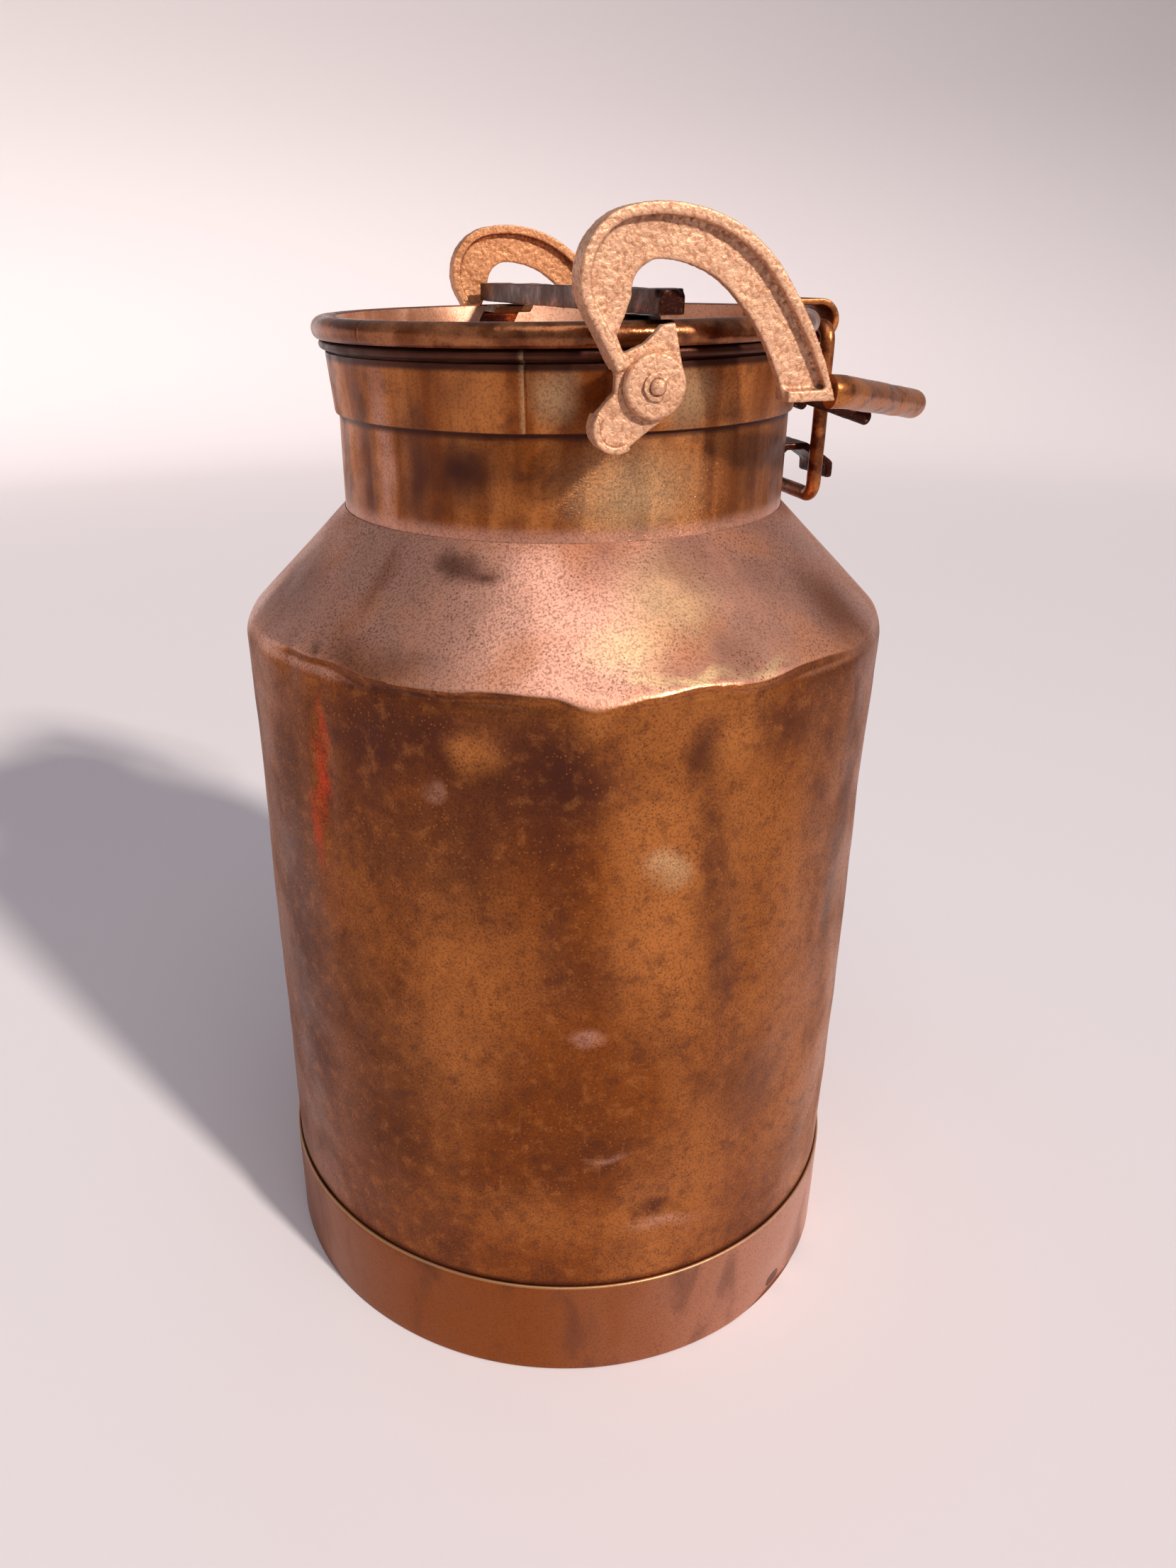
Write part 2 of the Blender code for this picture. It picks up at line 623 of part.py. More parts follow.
def lid_rim(axis):
    """Rolled channel round the lid, open underneath for the seal."""
    centre = (RIM_RADIUS, RIM_HEIGHT)
    start = -math.pi / 2 + RIM_OPENING
    end = math.pi * 1.5 - RIM_OPENING
    outer = arc(centre, RIM_BEAD_RADIUS, end, start, RIM_STEPS)
    inner = arc(centre, RIM_BEAD_RADIUS - SHEET, start, end, RIM_STEPS)
    return add_object("lid_rim", turned("lid_rim", outer + inner, BODY_FACETS), copper(), axis)


def lid_seal(axis):
    """Rubber ring inside the rim's channel."""
    profile = arc((RIM_RADIUS, RIM_HEIGHT), SEAL_RADIUS, -math.pi / 2, -math.pi / 2 - math.tau, BEAD_STEPS)[:-1]
    return add_object("lid_seal", turned("lid_seal", profile, BODY_FACETS), rubber(), axis)


def pan_outside(height):
    """Outer radius of the tapered lid pan at a height."""
    return PAN_RADIUS - PAN_TAPER * (RIM_TOP - height) / PAN_DEPTH


def pan_inside(height):
    return pan_outside(height) - SHEET


def lid_pan(axis):
    """Dished plate that plugs the mouth, tapered so that it swings clear."""
    top = RIM_TOP - PAN_LIP_DROP
    base = PAN_FLOOR - SHEET
    bend = (pan_outside(base + PAN_BEND_RADIUS) - PAN_BEND_RADIUS, base + PAN_BEND_RADIUS)
    outer = [(pan_outside(top), top)]
    outer += arc(bend, PAN_BEND_RADIUS, 0, -math.pi / 2, BEND_STEPS)
    outer.append((0, base))
    data = turned("lid_pan", sheet_profile(outer, SHEET), BODY_FACETS)
    return add_object("lid_pan", data, copper(), axis)


def bar_frame():
    """Turns the crossbar's own frame by its skew about the lid's middle."""
    return Matrix.Rotation(BAR_SKEW, 4, "Z")


def crossbar(axis):
    """Square forged bar across the lid, which the levers' cams hold down."""
    shape = bmesh.new()
    bmesh.ops.create_cube(shape, size=1)
    bmesh.ops.scale(shape, vec=(BAR_WIDTH, BAR_LENGTH, BAR_HEIGHT), verts=shape.verts)
    bmesh.ops.translate(shape, vec=(0, 0, BAR_BASE + BAR_HEIGHT / 2), verts=shape.verts)
    bmesh.ops.bevel(shape, geom=list(shape.edges), offset=BAR_EDGE_BEVEL, segments=2, affect="EDGES")
    data = mesh_from("crossbar", shape)
    data.transform(bar_frame())
    return add_object("crossbar", data, dark_copper(), axis)


def leg_outline(sign):
    """Bent strap from under the bar down to the lid's floor, in (y, z)."""
    outer_face = LEG_SPACING + LEG_THICKNESS / 2
    top = BAR_BASE - FIT_GAP
    floor = PAN_FLOOR + FIT_GAP
    inner_end = outer_face - LEG_FOOT_LENGTH
    foot_bend = (outer_face - LEG_BEND_RADIUS, floor + LEG_BEND_RADIUS)
    head_bend = (outer_face - LEG_BEND_RADIUS, top - LEG_BEND_RADIUS)
    outer = [(inner_end, top)]
    outer += arc(head_bend, LEG_BEND_RADIUS, math.pi / 2, 0, BEND_STEPS)
    outer += arc(foot_bend, LEG_BEND_RADIUS, 0, -math.pi / 2, BEND_STEPS)
    outer.append((inner_end, floor))
    return [(sign * across, height) for across, height in sheet_profile(outer, LEG_THICKNESS)]


def leg_frame():
    """Places a leg, drawn upright, under the skewed bar with its lean."""
    slant = Matrix.Identity(4)
    slant[0][2] = math.tan(LEG_LEAN)
    return bar_frame() @ Matrix.Translation((0, 0, BAR_BASE)) @ slant @ Matrix.Translation((0, 0, -BAR_BASE))


def leg_rivet_places(side):
    """Where a leg's foot is riveted to the lid's floor."""
    across = LEG_SPACING + LEG_THICKNESS / 2 - LEG_FOOT_LENGTH + RIVET_HEAD_RADIUS + RIVET_EDGE
    return [leg_frame() @ Vector((along * LEG_WIDTH / 4, SIDES[side] * across, PAN_FLOOR)) for along in (-1, 1)]


def hole(name, place, start, end):
    """Hole for a rivet through flat sheet, from start height to end height."""
    radius = RIVET_SHANK_RADIUS + RIVET_CLEARANCE
    return round_bar(name, radius, (place.x, place.y, start), (place.x, place.y, end), ROD_FACETS)


def crossbar_leg(side, axis):
    """Bent strap that carries one end of the crossbar over the lid's recess."""
    data = extruded("crossbar_leg", leg_outline(SIDES[side]), -LEG_WIDTH / 2, LEG_WIDTH / 2)
    data.transform(leg_frame() @ Matrix.Rotation(math.pi / 2, 4, "Z"))
    leg = add_object(f"crossbar_leg_{side}", data, dark_copper(), axis)
    foot_top = PAN_FLOOR + FIT_GAP + LEG_THICKNESS
    holes = [hole("leg_hole", place, PAN_FLOOR - OVERRUN, foot_top + OVERRUN)
             for place in leg_rivet_places(side)]
    cutter = add_object(f"leg_holes_{side}", join_meshes("leg_holes", holes), copper(), axis)
    combine(leg, cutter, "DIFFERENCE")
    return leg


def pan_holes(pan, axis):
    """Holes in the lid's floor for the legs' rivets."""
    holes = [hole("pan_hole", place, PAN_FLOOR - OVERRUN, PAN_FLOOR + OVERRUN)
             for side in SIDES for place in leg_rivet_places(side)]
    combine(pan, add_object("pan_holes", join_meshes("pan_holes", holes), copper(), axis), "DIFFERENCE")


def leg_rivets(side, axis):
    """Two domed rivets that hold a leg's foot to the lid's floor."""
    head_base = PAN_FLOOR + LEG_THICKNESS + 2 * FIT_GAP
    for place, label in zip(leg_rivet_places(side), ("front", "back")):
        data = rivet("leg_rivet", RIVET_SHANK_RADIUS, RIVET_HEAD_RADIUS, RIVET_HEAD_HEIGHT,
                     (place.x, place.y, PAN_FLOOR - SHEET), (place.x, place.y, head_base))
        add_object(f"leg_rivet_{side}_{label}", data, dark_copper(), axis)


def tab_face():
    """Outer side of the hinge strap's tab, inside the lid's curved wall."""
    wall = pan_inside(PAN_FLOOR + EYE_TAB_FLOOR_GAP)
    return math.sqrt(wall ** 2 - (EYE_WIDTH / 2) ** 2) - FIT_GAP


def hinge_strap(axis):
    """Strap over the lid's rim, rolled round the link's top run."""
    half = EYE_STRIP / 2
    over = EYE_CENTRE_HEIGHT + EYE_ROLL_RADIUS + half
    face = tab_face()
    base = PAN_FLOOR + EYE_TAB_FLOOR_GAP
    bend = (face - EYE_STRIP + EYE_TAB_BEND, over - EYE_TAB_BEND)
    outer = [(face - EYE_STRIP, base)]
    outer += arc(bend, EYE_TAB_BEND, math.pi, math.pi / 2, BEND_STEPS)
    centre = (EYE_CENTRE_OUT, EYE_CENTRE_HEIGHT)
    outer += arc(centre, EYE_ROLL_RADIUS + half, math.pi / 2, EYE_ROLL_END, 2 * ARC_STEPS)
    outline = outer + offset_line(outer, EYE_STRIP)[::-1]
    data = extruded("hinge_strap", outline, -EYE_WIDTH / 2, EYE_WIDTH / 2)
    return add_object("hinge_strap", data, copper(), axis)


def strap_rivet_height():
    return (PAN_FLOOR + EYE_TAB_FLOOR_GAP + RIM_HEIGHT) / 2


def strap_rivet_place(side):
    return SIDES[side] * EYE_WIDTH / 4


def strap_holes(strap, pan, axis):
    """Holes through the strap's tab and the lid's wall."""
    height = strap_rivet_height()
    parts = []
    for side in SIDES:
        across = strap_rivet_place(side)
        start = (tab_face() - EYE_STRIP - OVERRUN, across, height)
        end = (PAN_RADIUS + FIT_GAP, across, height)
        parts.append(round_bar("strap_hole", RIVET_SHANK_RADIUS + RIVET_CLEARANCE, start, end, ROD_FACETS))
    holes = join_meshes("strap_holes", parts)
    cutter = add_object("strap_holes", holes, copper(), axis)
    combine(strap, cutter, "DIFFERENCE")
    combine(pan, cutter, "DIFFERENCE")


def strap_rivet(side, axis):
    """Rivet that holds the hinge strap to the lid's wall."""
    height = strap_rivet_height()
    across = strap_rivet_place(side)
    start = (math.sqrt(pan_outside(height) ** 2 - across ** 2) - FIT_GAP, across, height)
    head_base = (tab_face() - EYE_STRIP - FIT_GAP, across, height)
    data = rivet("strap_rivet", RIVET_SHANK_RADIUS, RIVET_HEAD_RADIUS, RIVET_HEAD_HEIGHT, start, head_base)
    return add_object(f"strap_rivet_{side}", data, copper(), axis)


def hinge_link(axis):
    """Wire loop between the hook on the neck and the lid's rolled strap."""
    corners = []
    for run, sign in ((LINK_TOP, -1), (LINK_TOP, 1), (LINK_BOTTOM, 1), (LINK_BOTTOM, -1)):
        corners.append((run.x, sign * LINK_HALF_WIDTH, run.z))
    points = rounded_path(corners, LINK_BEND_RADIUS, closed=True)
    return rod("hinge_link", points, LINK_WIRE_RADIUS, copper(), axis, closed=True)


# The levers and the handle

def tangent_arc(radius, end_angle, point, steps):
    """Arc from a point to a circle about the pivot, tangent to it at end_angle."""
    point = Vector(point)
    along = Vector(polar(1, end_angle))
    shift = (radius ** 2 - point.length_squared) / (2 * (radius - point.dot(along)))
    centre = along * shift
    start = math.atan2(point.y - centre.y, point.x - centre.x)
    return arc(centre, radius - shift, start, end_angle, steps)


def arm_outside(inset=0):
    """Outer edge of a lever from its foot round the heel, or a line inside it."""
    foot = (FOOT_OUTER_REACH - inset, inset - LEVER_FOOT_DROP)
    line = [(FOOT_INNER_REACH, foot[1])]
    line += tangent_arc(ARM_OUTER_RADIUS - inset, ARM_OUTER_END, foot, ARC_STEPS)
    line += arc((0, 0), ARM_OUTER_RADIUS - inset, ARM_OUTER_END, HEEL_START, ARC_STEPS)[1:]
    heel = polar(ARM_OUTER_RADIUS - HEEL_RADIUS, HEEL_START)
    line += arc(heel, HEEL_RADIUS - inset, HEEL_START, HEEL_END, ARC_STEPS)[1:]
    shift = polar(inset, HEEL_END)
    line.append((-WAIST_SIDE - shift[0], WAIST_HEIGHT - shift[1]))
    return line


def tail_outside(inset=0):
    """Edge of the tail lobe from the waist round to the hub, or a line inside it."""
    centre = polar(TAIL_DISTANCE, TAIL_ANGLE)
    lean = math.acos((HUB_RADIUS - TAIL_RADIUS) / TAIL_DISTANCE)
    return arc(centre, TAIL_RADIUS - inset, TAIL_ANGLE - lean, TAIL_ANGLE + lean, ARC_STEPS)


def lever_outline():
    """Whole outline of a lever in (x, z) about its pivot."""
    lean = math.acos((HUB_RADIUS - TAIL_RADIUS) / TAIL_DISTANCE)
    line = arm_outside()[1:]
    line.append((-WAIST_SIDE, -WAIST_BASE))
    line += tail_outside()
    hub_end = THUMB_ANGLE - math.acos(HUB_RADIUS / THUMB_DISTANCE)
    line += arc((0, 0), HUB_RADIUS, TAIL_ANGLE + lean - math.tau, hub_end, ARC_STEPS)
    line.append(polar(THUMB_DISTANCE, THUMB_ANGLE))
    for distance_share, turn_share in THUMB_BACK_SHARES:
        distance = THUMB_DISTANCE + (NOTCH_DISTANCE - THUMB_DISTANCE) * distance_share
        line.append(polar(distance, THUMB_ANGLE + (NOTCH_ANGLE - THUMB_ANGLE) * turn_share))
    line.append(polar(NOTCH_DISTANCE, NOTCH_ANGLE))
    line.append(polar(NECKING_DISTANCE, NECKING_ANGLE))
    throat = polar(ARM_INNER_RADIUS - THROAT_RADIUS, ARM_INNER_START)
    line += arc(throat, THROAT_RADIUS, THROAT_END, ARM_INNER_START, ARC_STEPS)
    inner_foot = (FOOT_INNER_REACH, -LEVER_FOOT_DROP)
    line += arc((0, 0), ARM_INNER_RADIUS, ARM_INNER_START, ARM_INNER_END, ARC_STEPS)[1:]
    line += tangent_arc(ARM_INNER_RADIUS, ARM_INNER_END, inner_foot, ARC_STEPS)[::-1][1:]
    return line


def rib_outline(edge, width):
    """Closed strip of a rib that follows an edge of the lever."""
    return edge(-RIB_PROUD) + edge(width)[::-1]


def lever(side, axis):
    """Cast C-shaped lever: thin web, rib round its outer edge, hub and tail."""
    sign = SIDES[side]
    name = f"lever_{side}"
    web = extruded(name, lever_outline(), WEB_INNER_FACE, WEB_OUTER_FACE)
    body = add_object(name, web, cast_copper(), axis)
    rib = extruded("lever_rib", rib_outline(arm_outside, RIB_WIDTH), LEVER_INNER_FACE, LEVER_OUTER_FACE)
    tail = extruded("lever_tail", rib_outline(tail_outside, TAIL_RIB_WIDTH), LEVER_INNER_FACE,
                    WEB_OUTER_FACE + TAIL_RIB_WIDTH)
    hub = round_bar("lever_hub", HUB_RADIUS - RIB_PROUD, (0, LEVER_INNER_FACE, 0),
                    (0, (WEB_INNER_FACE + WEB_OUTER_FACE) / 2, 0), SMALL_FACETS)
    bore = round_bar("lever_bore", SHANK_RADIUS + BORE_CLEARANCE, (0, 0, 0),
                     (0, LEVER_OUTER_FACE + OVERRUN, 0), SMALL_FACETS)
    place = Matrix.Translation((0, 0, PIVOT_HEIGHT)) @ Matrix.Scale(sign, 4, (0, 1, 0))
    body.data.transform(place)
    for label, data, operation in (("rib", rib, "UNION"), ("tail", tail, "UNION"), ("hub", hub, "UNION"),
                                   ("bore", bore, "DIFFERENCE")):
        data.transform(place)
        if sign < 0:
            data.flip_normals()
        combine(body, add_object(f"{name}_{label}", data, cast_copper(), axis), operation)
    if sign < 0:
        body.data.flip_normals()
    return body


def grip_bail(axis):
    """Round rod from lever to lever, drawn in to a grip behind the neck."""
    across = (LEVER_INNER_FACE + LEVER_OUTER_FACE) / 2
    start = FOOT_OUTER_REACH + RIB_PROUD + FIT_GAP
    half = [
        (start, across, GRIP_ARM_HEIGHT),
        (start + GRIP_ARM_START, across, GRIP_ARM_HEIGHT),
        (GRIP_OUT, GRIP_HALF_WIDTH, GRIP_HEIGHT),
    ]
    corners = half + [(x, -y, z) for x, y, z in half[::-1]]
    return rod("grip_bail", rounded_path(corners, GRIP_BEND_RADIUS), GRIP_RADIUS, copper(), axis)


def build():
    clear_scene()
    handle_axis = add_axis("handle_axis", (0, 0, PIVOT_HEIGHT))
    link_axis = add_axis("link_axis", LINK_TOP)
    lid_axis = add_axis("lid_axis", LINK_TOP)
    foot_hoop()
    bottom_plate()
    barrel()
    shoulder()
    neck()
    collar_band()
    hinge_hook()
    for side in SIDES:
        grip_rest(side)
        trunnion(side)
        pivot_pin(side)
        washer(side)
        lever(side, handle_axis)
    grip_bail(handle_axis)
    hinge_link(link_axis)
    lid_rim(lid_axis)
    lid_seal(lid_axis)
    pan = lid_pan(lid_axis)
    pan_holes(pan, lid_axis)
    crossbar(lid_axis)
    strap = hinge_strap(lid_axis)
    strap_holes(strap, pan, lid_axis)
    for side in SIDES:
        crossbar_leg(side, lid_axis)
        leg_rivets(side, lid_axis)
        strap_rivet(side, lid_axis)


build()
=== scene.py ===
"""Copper milk churn: smooth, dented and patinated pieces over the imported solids.

Metres, +Z up, in the row frame. +X points to the hinge and -Y to the near lever.
"""
import json
import math

import bmesh
import bpy
from bpy.props import FloatProperty, FloatVectorProperty, PointerProperty
from mathutils import Matrix, Vector, noise


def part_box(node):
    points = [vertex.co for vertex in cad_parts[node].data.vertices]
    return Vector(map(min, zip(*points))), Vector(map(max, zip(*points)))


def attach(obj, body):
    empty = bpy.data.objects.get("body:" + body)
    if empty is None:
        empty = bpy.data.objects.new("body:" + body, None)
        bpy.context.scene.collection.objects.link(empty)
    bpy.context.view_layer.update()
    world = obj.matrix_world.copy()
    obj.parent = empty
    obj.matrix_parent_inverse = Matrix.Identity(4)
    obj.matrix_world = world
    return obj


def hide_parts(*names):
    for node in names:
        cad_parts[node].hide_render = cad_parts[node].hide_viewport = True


bl_info = {
    "name": "Copper Milk Churn",
    "version": (1, 0, 0),
    "blender": (4, 5, 0),
    "location": "3D View > Sidebar > Churn",
    "description": "Builds an aged copper milk churn with a hinged lid, cam levers and a bail handle",
    "category": "Object",
}

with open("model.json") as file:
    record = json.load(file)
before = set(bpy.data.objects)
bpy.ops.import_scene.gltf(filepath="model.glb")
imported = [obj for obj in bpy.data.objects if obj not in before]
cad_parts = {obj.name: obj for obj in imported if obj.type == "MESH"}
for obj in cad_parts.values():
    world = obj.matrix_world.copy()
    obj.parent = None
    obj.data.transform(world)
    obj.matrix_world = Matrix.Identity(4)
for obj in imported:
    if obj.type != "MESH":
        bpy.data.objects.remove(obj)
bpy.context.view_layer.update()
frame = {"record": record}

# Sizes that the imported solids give
BARREL_LOW, BARREL_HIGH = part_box("barrel")
FOOT_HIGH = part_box("foot_hoop")[1]
NECK_LOW, NECK_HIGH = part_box("neck")
COLLAR_LOW, COLLAR_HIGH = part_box("collar_band")
RIM_LOW, RIM_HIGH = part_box("lid_rim")
PAN_LOW, PAN_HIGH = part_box("lid_pan")
JOINTS = {joint["name"]: joint for joint in frame["record"]["behaviour"]["joints"]}
PIVOT_HEIGHT = JOINTS["handle_swing"]["pos_m"][2]
LINK_TOP = Vector(JOINTS["lid_hinge"]["pos_m"])

# Can
GAP = 0.0003
SHEET = 0.0015
SKIRT = 0.0210
BEND_RADIUS = 0.014
SLOPE = math.radians(45)
NECK_LAP = 0.006
FLARE_OUT = 0.0047
BEAD_RADIUS = 0.0019
FOOT_THICKNESS = 0.0014
FOOT_ROUNDING = 0.0012
FLANGE_WIDTH = 0.010
FLANGE_THICKNESS = 0.002
BOTTOM_BEND = 0.005
COLLAR_THICKNESS = 0.0014
LAP_EDGE = -112.6
LAP_WIDTH = 8.4
LAP_RISE = 5.0
LAP_PROUD = 0.0008
LAP_LINE = 0.35

# Lid
RIM_OPENING = math.radians(35)
RIM_SEAM = -151.2
PAN_TAPER = 0.0036
PAN_BEND = 0.004
BAR_WIDTH = 0.0102
BAR_HEIGHT = 0.0088
BAR_SKEW = math.radians(5)
LEG_WIDTH = 0.0180
LEG_THICKNESS = 0.0034
LEG_SET_IN = 0.0125
LEG_LEAN = math.radians(28)
LEG_FOOT_LENGTH = 0.0200
LEG_BEND = 0.0050
RIVET_SHANK = 0.0022
RIVET_HEAD = 0.0040
RIVET_RISE = 0.0020
RIVET_EDGE = 0.0010

# Hinge
EYE_OUT = 0.0095
EYE_STRIP = 0.0027
EYE_ROLL = 0.0074
EYE_ROLL_END = math.radians(-110)
EYE_WIDTH = 0.0280
TAB_BEND = 0.0035
TAB_FLOOR_GAP = 0.0060
LINK_HEIGHT = 0.0688
LINK_BEND = 0.0060
HOOK_WIDTH = 0.0280
HOOK_THICKNESS = 0.0034
HOOK_ABOVE_LINK = 0.0220
HOOK_REACH = 0.0120
HOOK_SHOULDER_SHARE = 0.10
HOOK_SLOPE_DROP = 0.0075
HOOK_NOSE_DROP = 0.0085
HOOK_BRACE_DROP = 0.0095

# Levers and handle
TRUNNION_RADIUS = 0.0078
TRUNNION_STANDOFF = 0.0101
SEAT_HEIGHTS = (0.41, 0.435, 0.45)
SHANK_RADIUS = 0.0034
BORE_CLEARANCE = 0.0004
PIN_HEAD = 0.0048
PIN_RISE = 0.0026
PIN_PLATE = 0.0008
PIN_NUB = 0.0028
WASHER_RADIUS = 0.0107
WASHER_THICKNESS = 0.0034
WASHER_BEVEL = 0.0009
WASHER_SOFT = 0.0014
LEVER_DEPTH = 0.0110
WEB_THICKNESS = 0.0040
WEB_SET_BACK = 0.0036
RIB_WIDTH = 0.0037
RIB_PROUD = 0.0002
ARM_OUTER = 0.0538
ARM_INNER = 0.0376
ARM_OUTER_END = math.radians(38)
ARM_INNER_END = math.radians(45)
ARM_INNER_START = math.radians(88)
HEEL_RADIUS = 0.0205
HEEL_START = math.radians(100)
HEEL_END = math.radians(208)
THROAT_RADIUS = 0.0092
THROAT_END = math.radians(190)
FOOT_OUTER_REACH = 0.0638
FOOT_INNER_REACH = 0.0465
FOOT_DROP = 0.0065
HUB_RADIUS = 0.0112
TAIL_RADIUS = 0.0082
TAIL_DISTANCE = 0.0180
TAIL_ANGLE = math.radians(226)
TAIL_RIB = 0.0024
WAIST = ((-0.0130, 0.0045), (-0.0130, -0.0015))
THUMB_DISTANCE = 0.0203
THUMB_ANGLE = math.radians(70)
THUMB_BACK_SHARES = ((0.28, 0.20), (0.88, 0.35), (1.20, 0.52))
NOTCH = (0.0146, math.radians(135))
NECKING = (0.0200, math.radians(129))
GRIP_STANDOFF = 0.0315
GRIP_DROP = 0.0159
GRIP_HALF_WIDTH = 0.0577
GRIP_ARM_DROP = 0.0041
GRIP_ARM_START = 0.0038
GRIP_BEND = 0.0090
REST_RADIUS = 0.0032
REST_SPACING = 0.0300
REST_SHORT = 0.0035
REST_FALL = math.radians(19)

# Facets and spacing
BODY_COLUMNS = 384
TURNED_COLUMNS = 256
SMALL_COLUMNS = 64
ROD_COLUMNS = 28
ROD_SPACING = 0.002
ARC_STEPS = 14
SMOOTH_ANGLE = math.radians(35)
SIDES = {"near": -1, "far": 1}

# Crease under the shoulder: angle about the can in degrees, height in metres
CREASE = (
    (-180, 0.3310), (-145, 0.3325), (-134, 0.3300), (-125, 0.3295), (-114, 0.3305), (-106, 0.3295),
    (-99.8, 0.3245), (-95.7, 0.3265), (-91.5, 0.3285), (-83, 0.3305), (-73, 0.3285), (-62, 0.3315),
    (-40, 0.3310), (180, 0.3310),
)
# How far the wall is pushed in below the crease: angle in degrees, share of the deepest dent
CREASE_DEPTH = (
    (-180, 0.0), (-166, 0.10), (-152, 0.45), (-136, 0.85), (-120, 1.0), (-108, 0.75), (-99.8, 0.10),
    (-92, 0.70), (-82, 0.95), (-70, 0.80), (-60, 0.50), (-48, 0.12), (-30, 0.05), (20, 0.0),
    (60, 0.55), (80, 0.15), (105, 0.60), (130, 0.05), (180, 0.0),
)
# Below the crease the wall steps in and comes out again over these distances
CREASE_STEP = (0.0002, 0.0048)
CREASE_FADE = (0.022, 0.150)
# Heights over which the sheet goes still towards the foot hoop and the neck, and how far it may stand out
STILL_FOOT = (0.052, 0.085)
STILL_NECK = (0.358, 0.371)
MOST_OUT = 0.0014
# Small dents: angle in degrees, height, half width, half height, depth in metres
DENTS = (
    (-117.9, 0.3049, 0.012, 0.009, 0.0014), (-87.4, 0.2597, 0.011, 0.009, 0.0016),
    (-98.5, 0.1848, 0.010, 0.009, 0.0010), (-77.4, 0.3069, 0.014, 0.010, 0.0014),
    (-87.6, 0.0947, 0.013, 0.010, 0.0017), (-85.7, 0.0800, 0.020, 0.008, -0.0005),
    (-147.0, 0.2820, 0.006, 0.030, 0.0016), (-98.0, 0.3370, 0.016, 0.011, 0.0016),
    (-155.0, 0.3275, 0.006, 0.010, 0.0012), (-146.0, 0.3350, 0.007, 0.009, 0.0012),
    (-73.0, 0.2290, 0.010, 0.060, 0.0014), (-103.5, 0.2500, 0.012, 0.050, 0.0009),
    (-135.0, 0.2350, 0.024, 0.030, 0.0012), (-112.0, 0.2100, 0.020, 0.034, 0.0009),
    (-122.0, 0.3580, 0.018, 0.008, 0.0008), (-75.0, 0.3520, 0.022, 0.010, 0.0006),
    (-52.0, 0.2100, 0.030, 0.040, 0.0014), (-64.0, 0.1350, 0.026, 0.030, 0.0012),
    (-20.0, 0.2600, 0.030, 0.026, 0.0020), (12.0, 0.1500, 0.022, 0.030, 0.0018),
    (48.0, 0.2200, 0.030, 0.040, 0.0022), (88.0, 0.1300, 0.026, 0.024, 0.0020),
    (120.0, 0.2500, 0.034, 0.030, 0.0022), (155.0, 0.1700, 0.028, 0.034, 0.0018),
    (30.0, 0.3500, 0.016, 0.010, 0.0010), (140.0, 0.3480, 0.018, 0.011, 0.0010),
)
# Knocks in the foot hoop, written in the same way
FOOT_KNOCKS = ((-53.4, 0.005, 0.020, 0.012, 0.0016), (-128.0, 0.030, 0.022, 0.012, 0.0005))


def length(name, description, default):
    """A size that the sidebar shows as a length."""
    return FloatProperty(name=name, description=description, default=default, min=0, unit="LENGTH", precision=4)


def colour(name, description, default):
    """A colour that the sidebar shows as a swatch."""
    return FloatVectorProperty(name=name, description=description, default=default, size=3, subtype="COLOR",
                               min=0, max=1)


# Camera of the photograph: place, heading, tilt and roll in degrees, shift in widths of the frame
CAMERA_PLACE = (-0.1329, -0.4989, 0.4657)
CAMERA_TURNS = (11.79, 25.18, -0.796)
CAMERA_SHIFT = (0.0554, 0.0144)
SENSOR_WIDTH = 36
NEAR_CLIP = 0.01

# Lights: azimuth and elevation in degrees and distance, all about a point above the floor
KEY_PLACE = (-60, 31, 2.4)
OVERHEAD_PLACE = (-98, 66, 1.7)
LIGHT_TARGET = 0.25
KEY_TINT = (1.0, 0.93, 0.86)
OVERHEAD_TINT = (1.0, 0.98, 0.98)
SKY_TINT = (0.88, 0.87, 0.99)

# Backdrop: flat floor, curve, top of the wall, and how much darker the wall gets with height
SWEEP_FLAT = 2.5
SWEEP_CURVE = 0.9
SWEEP_TOP = 1.25
SWEEP_COLUMNS = 96
FADE_HEIGHTS = (0.05, 1.1)
WALL_SHADE = 0.70


class ChurnSizes(bpy.types.PropertyGroup):
    """Sizes of the churn"""

    barrel_radius: length("Barrel radius", "Outside of the barrel's wall", BARREL_HIGH.x)
    neck_radius: length("Neck radius", "Outside of the straight part of the neck", 0.0938)
    rim_bead: length("Rim bead", "Radius of the lid's rolled rim", (RIM_HIGH.z - RIM_LOW.z) / 2)
    grip_radius: length("Grip radius", "Radius of the handle's rod", 0.0058)
    link_wire: length("Link wire", "Radius of the hinge link's wire", 0.00315)
    crest_dent: length("Crest dent", "Depth of the dents below the shoulder", 0.0042)
    sheet_wave: length("Sheet wave", "Slow waves that hammering left in the sheet", 0.0008)
    cast_grain: length("Cast grain", "Depth of the levers' cast skin", 0.00014)
    forge_grain: length("Forge grain", "Unevenness of the forged straps and bars", 0.00022)


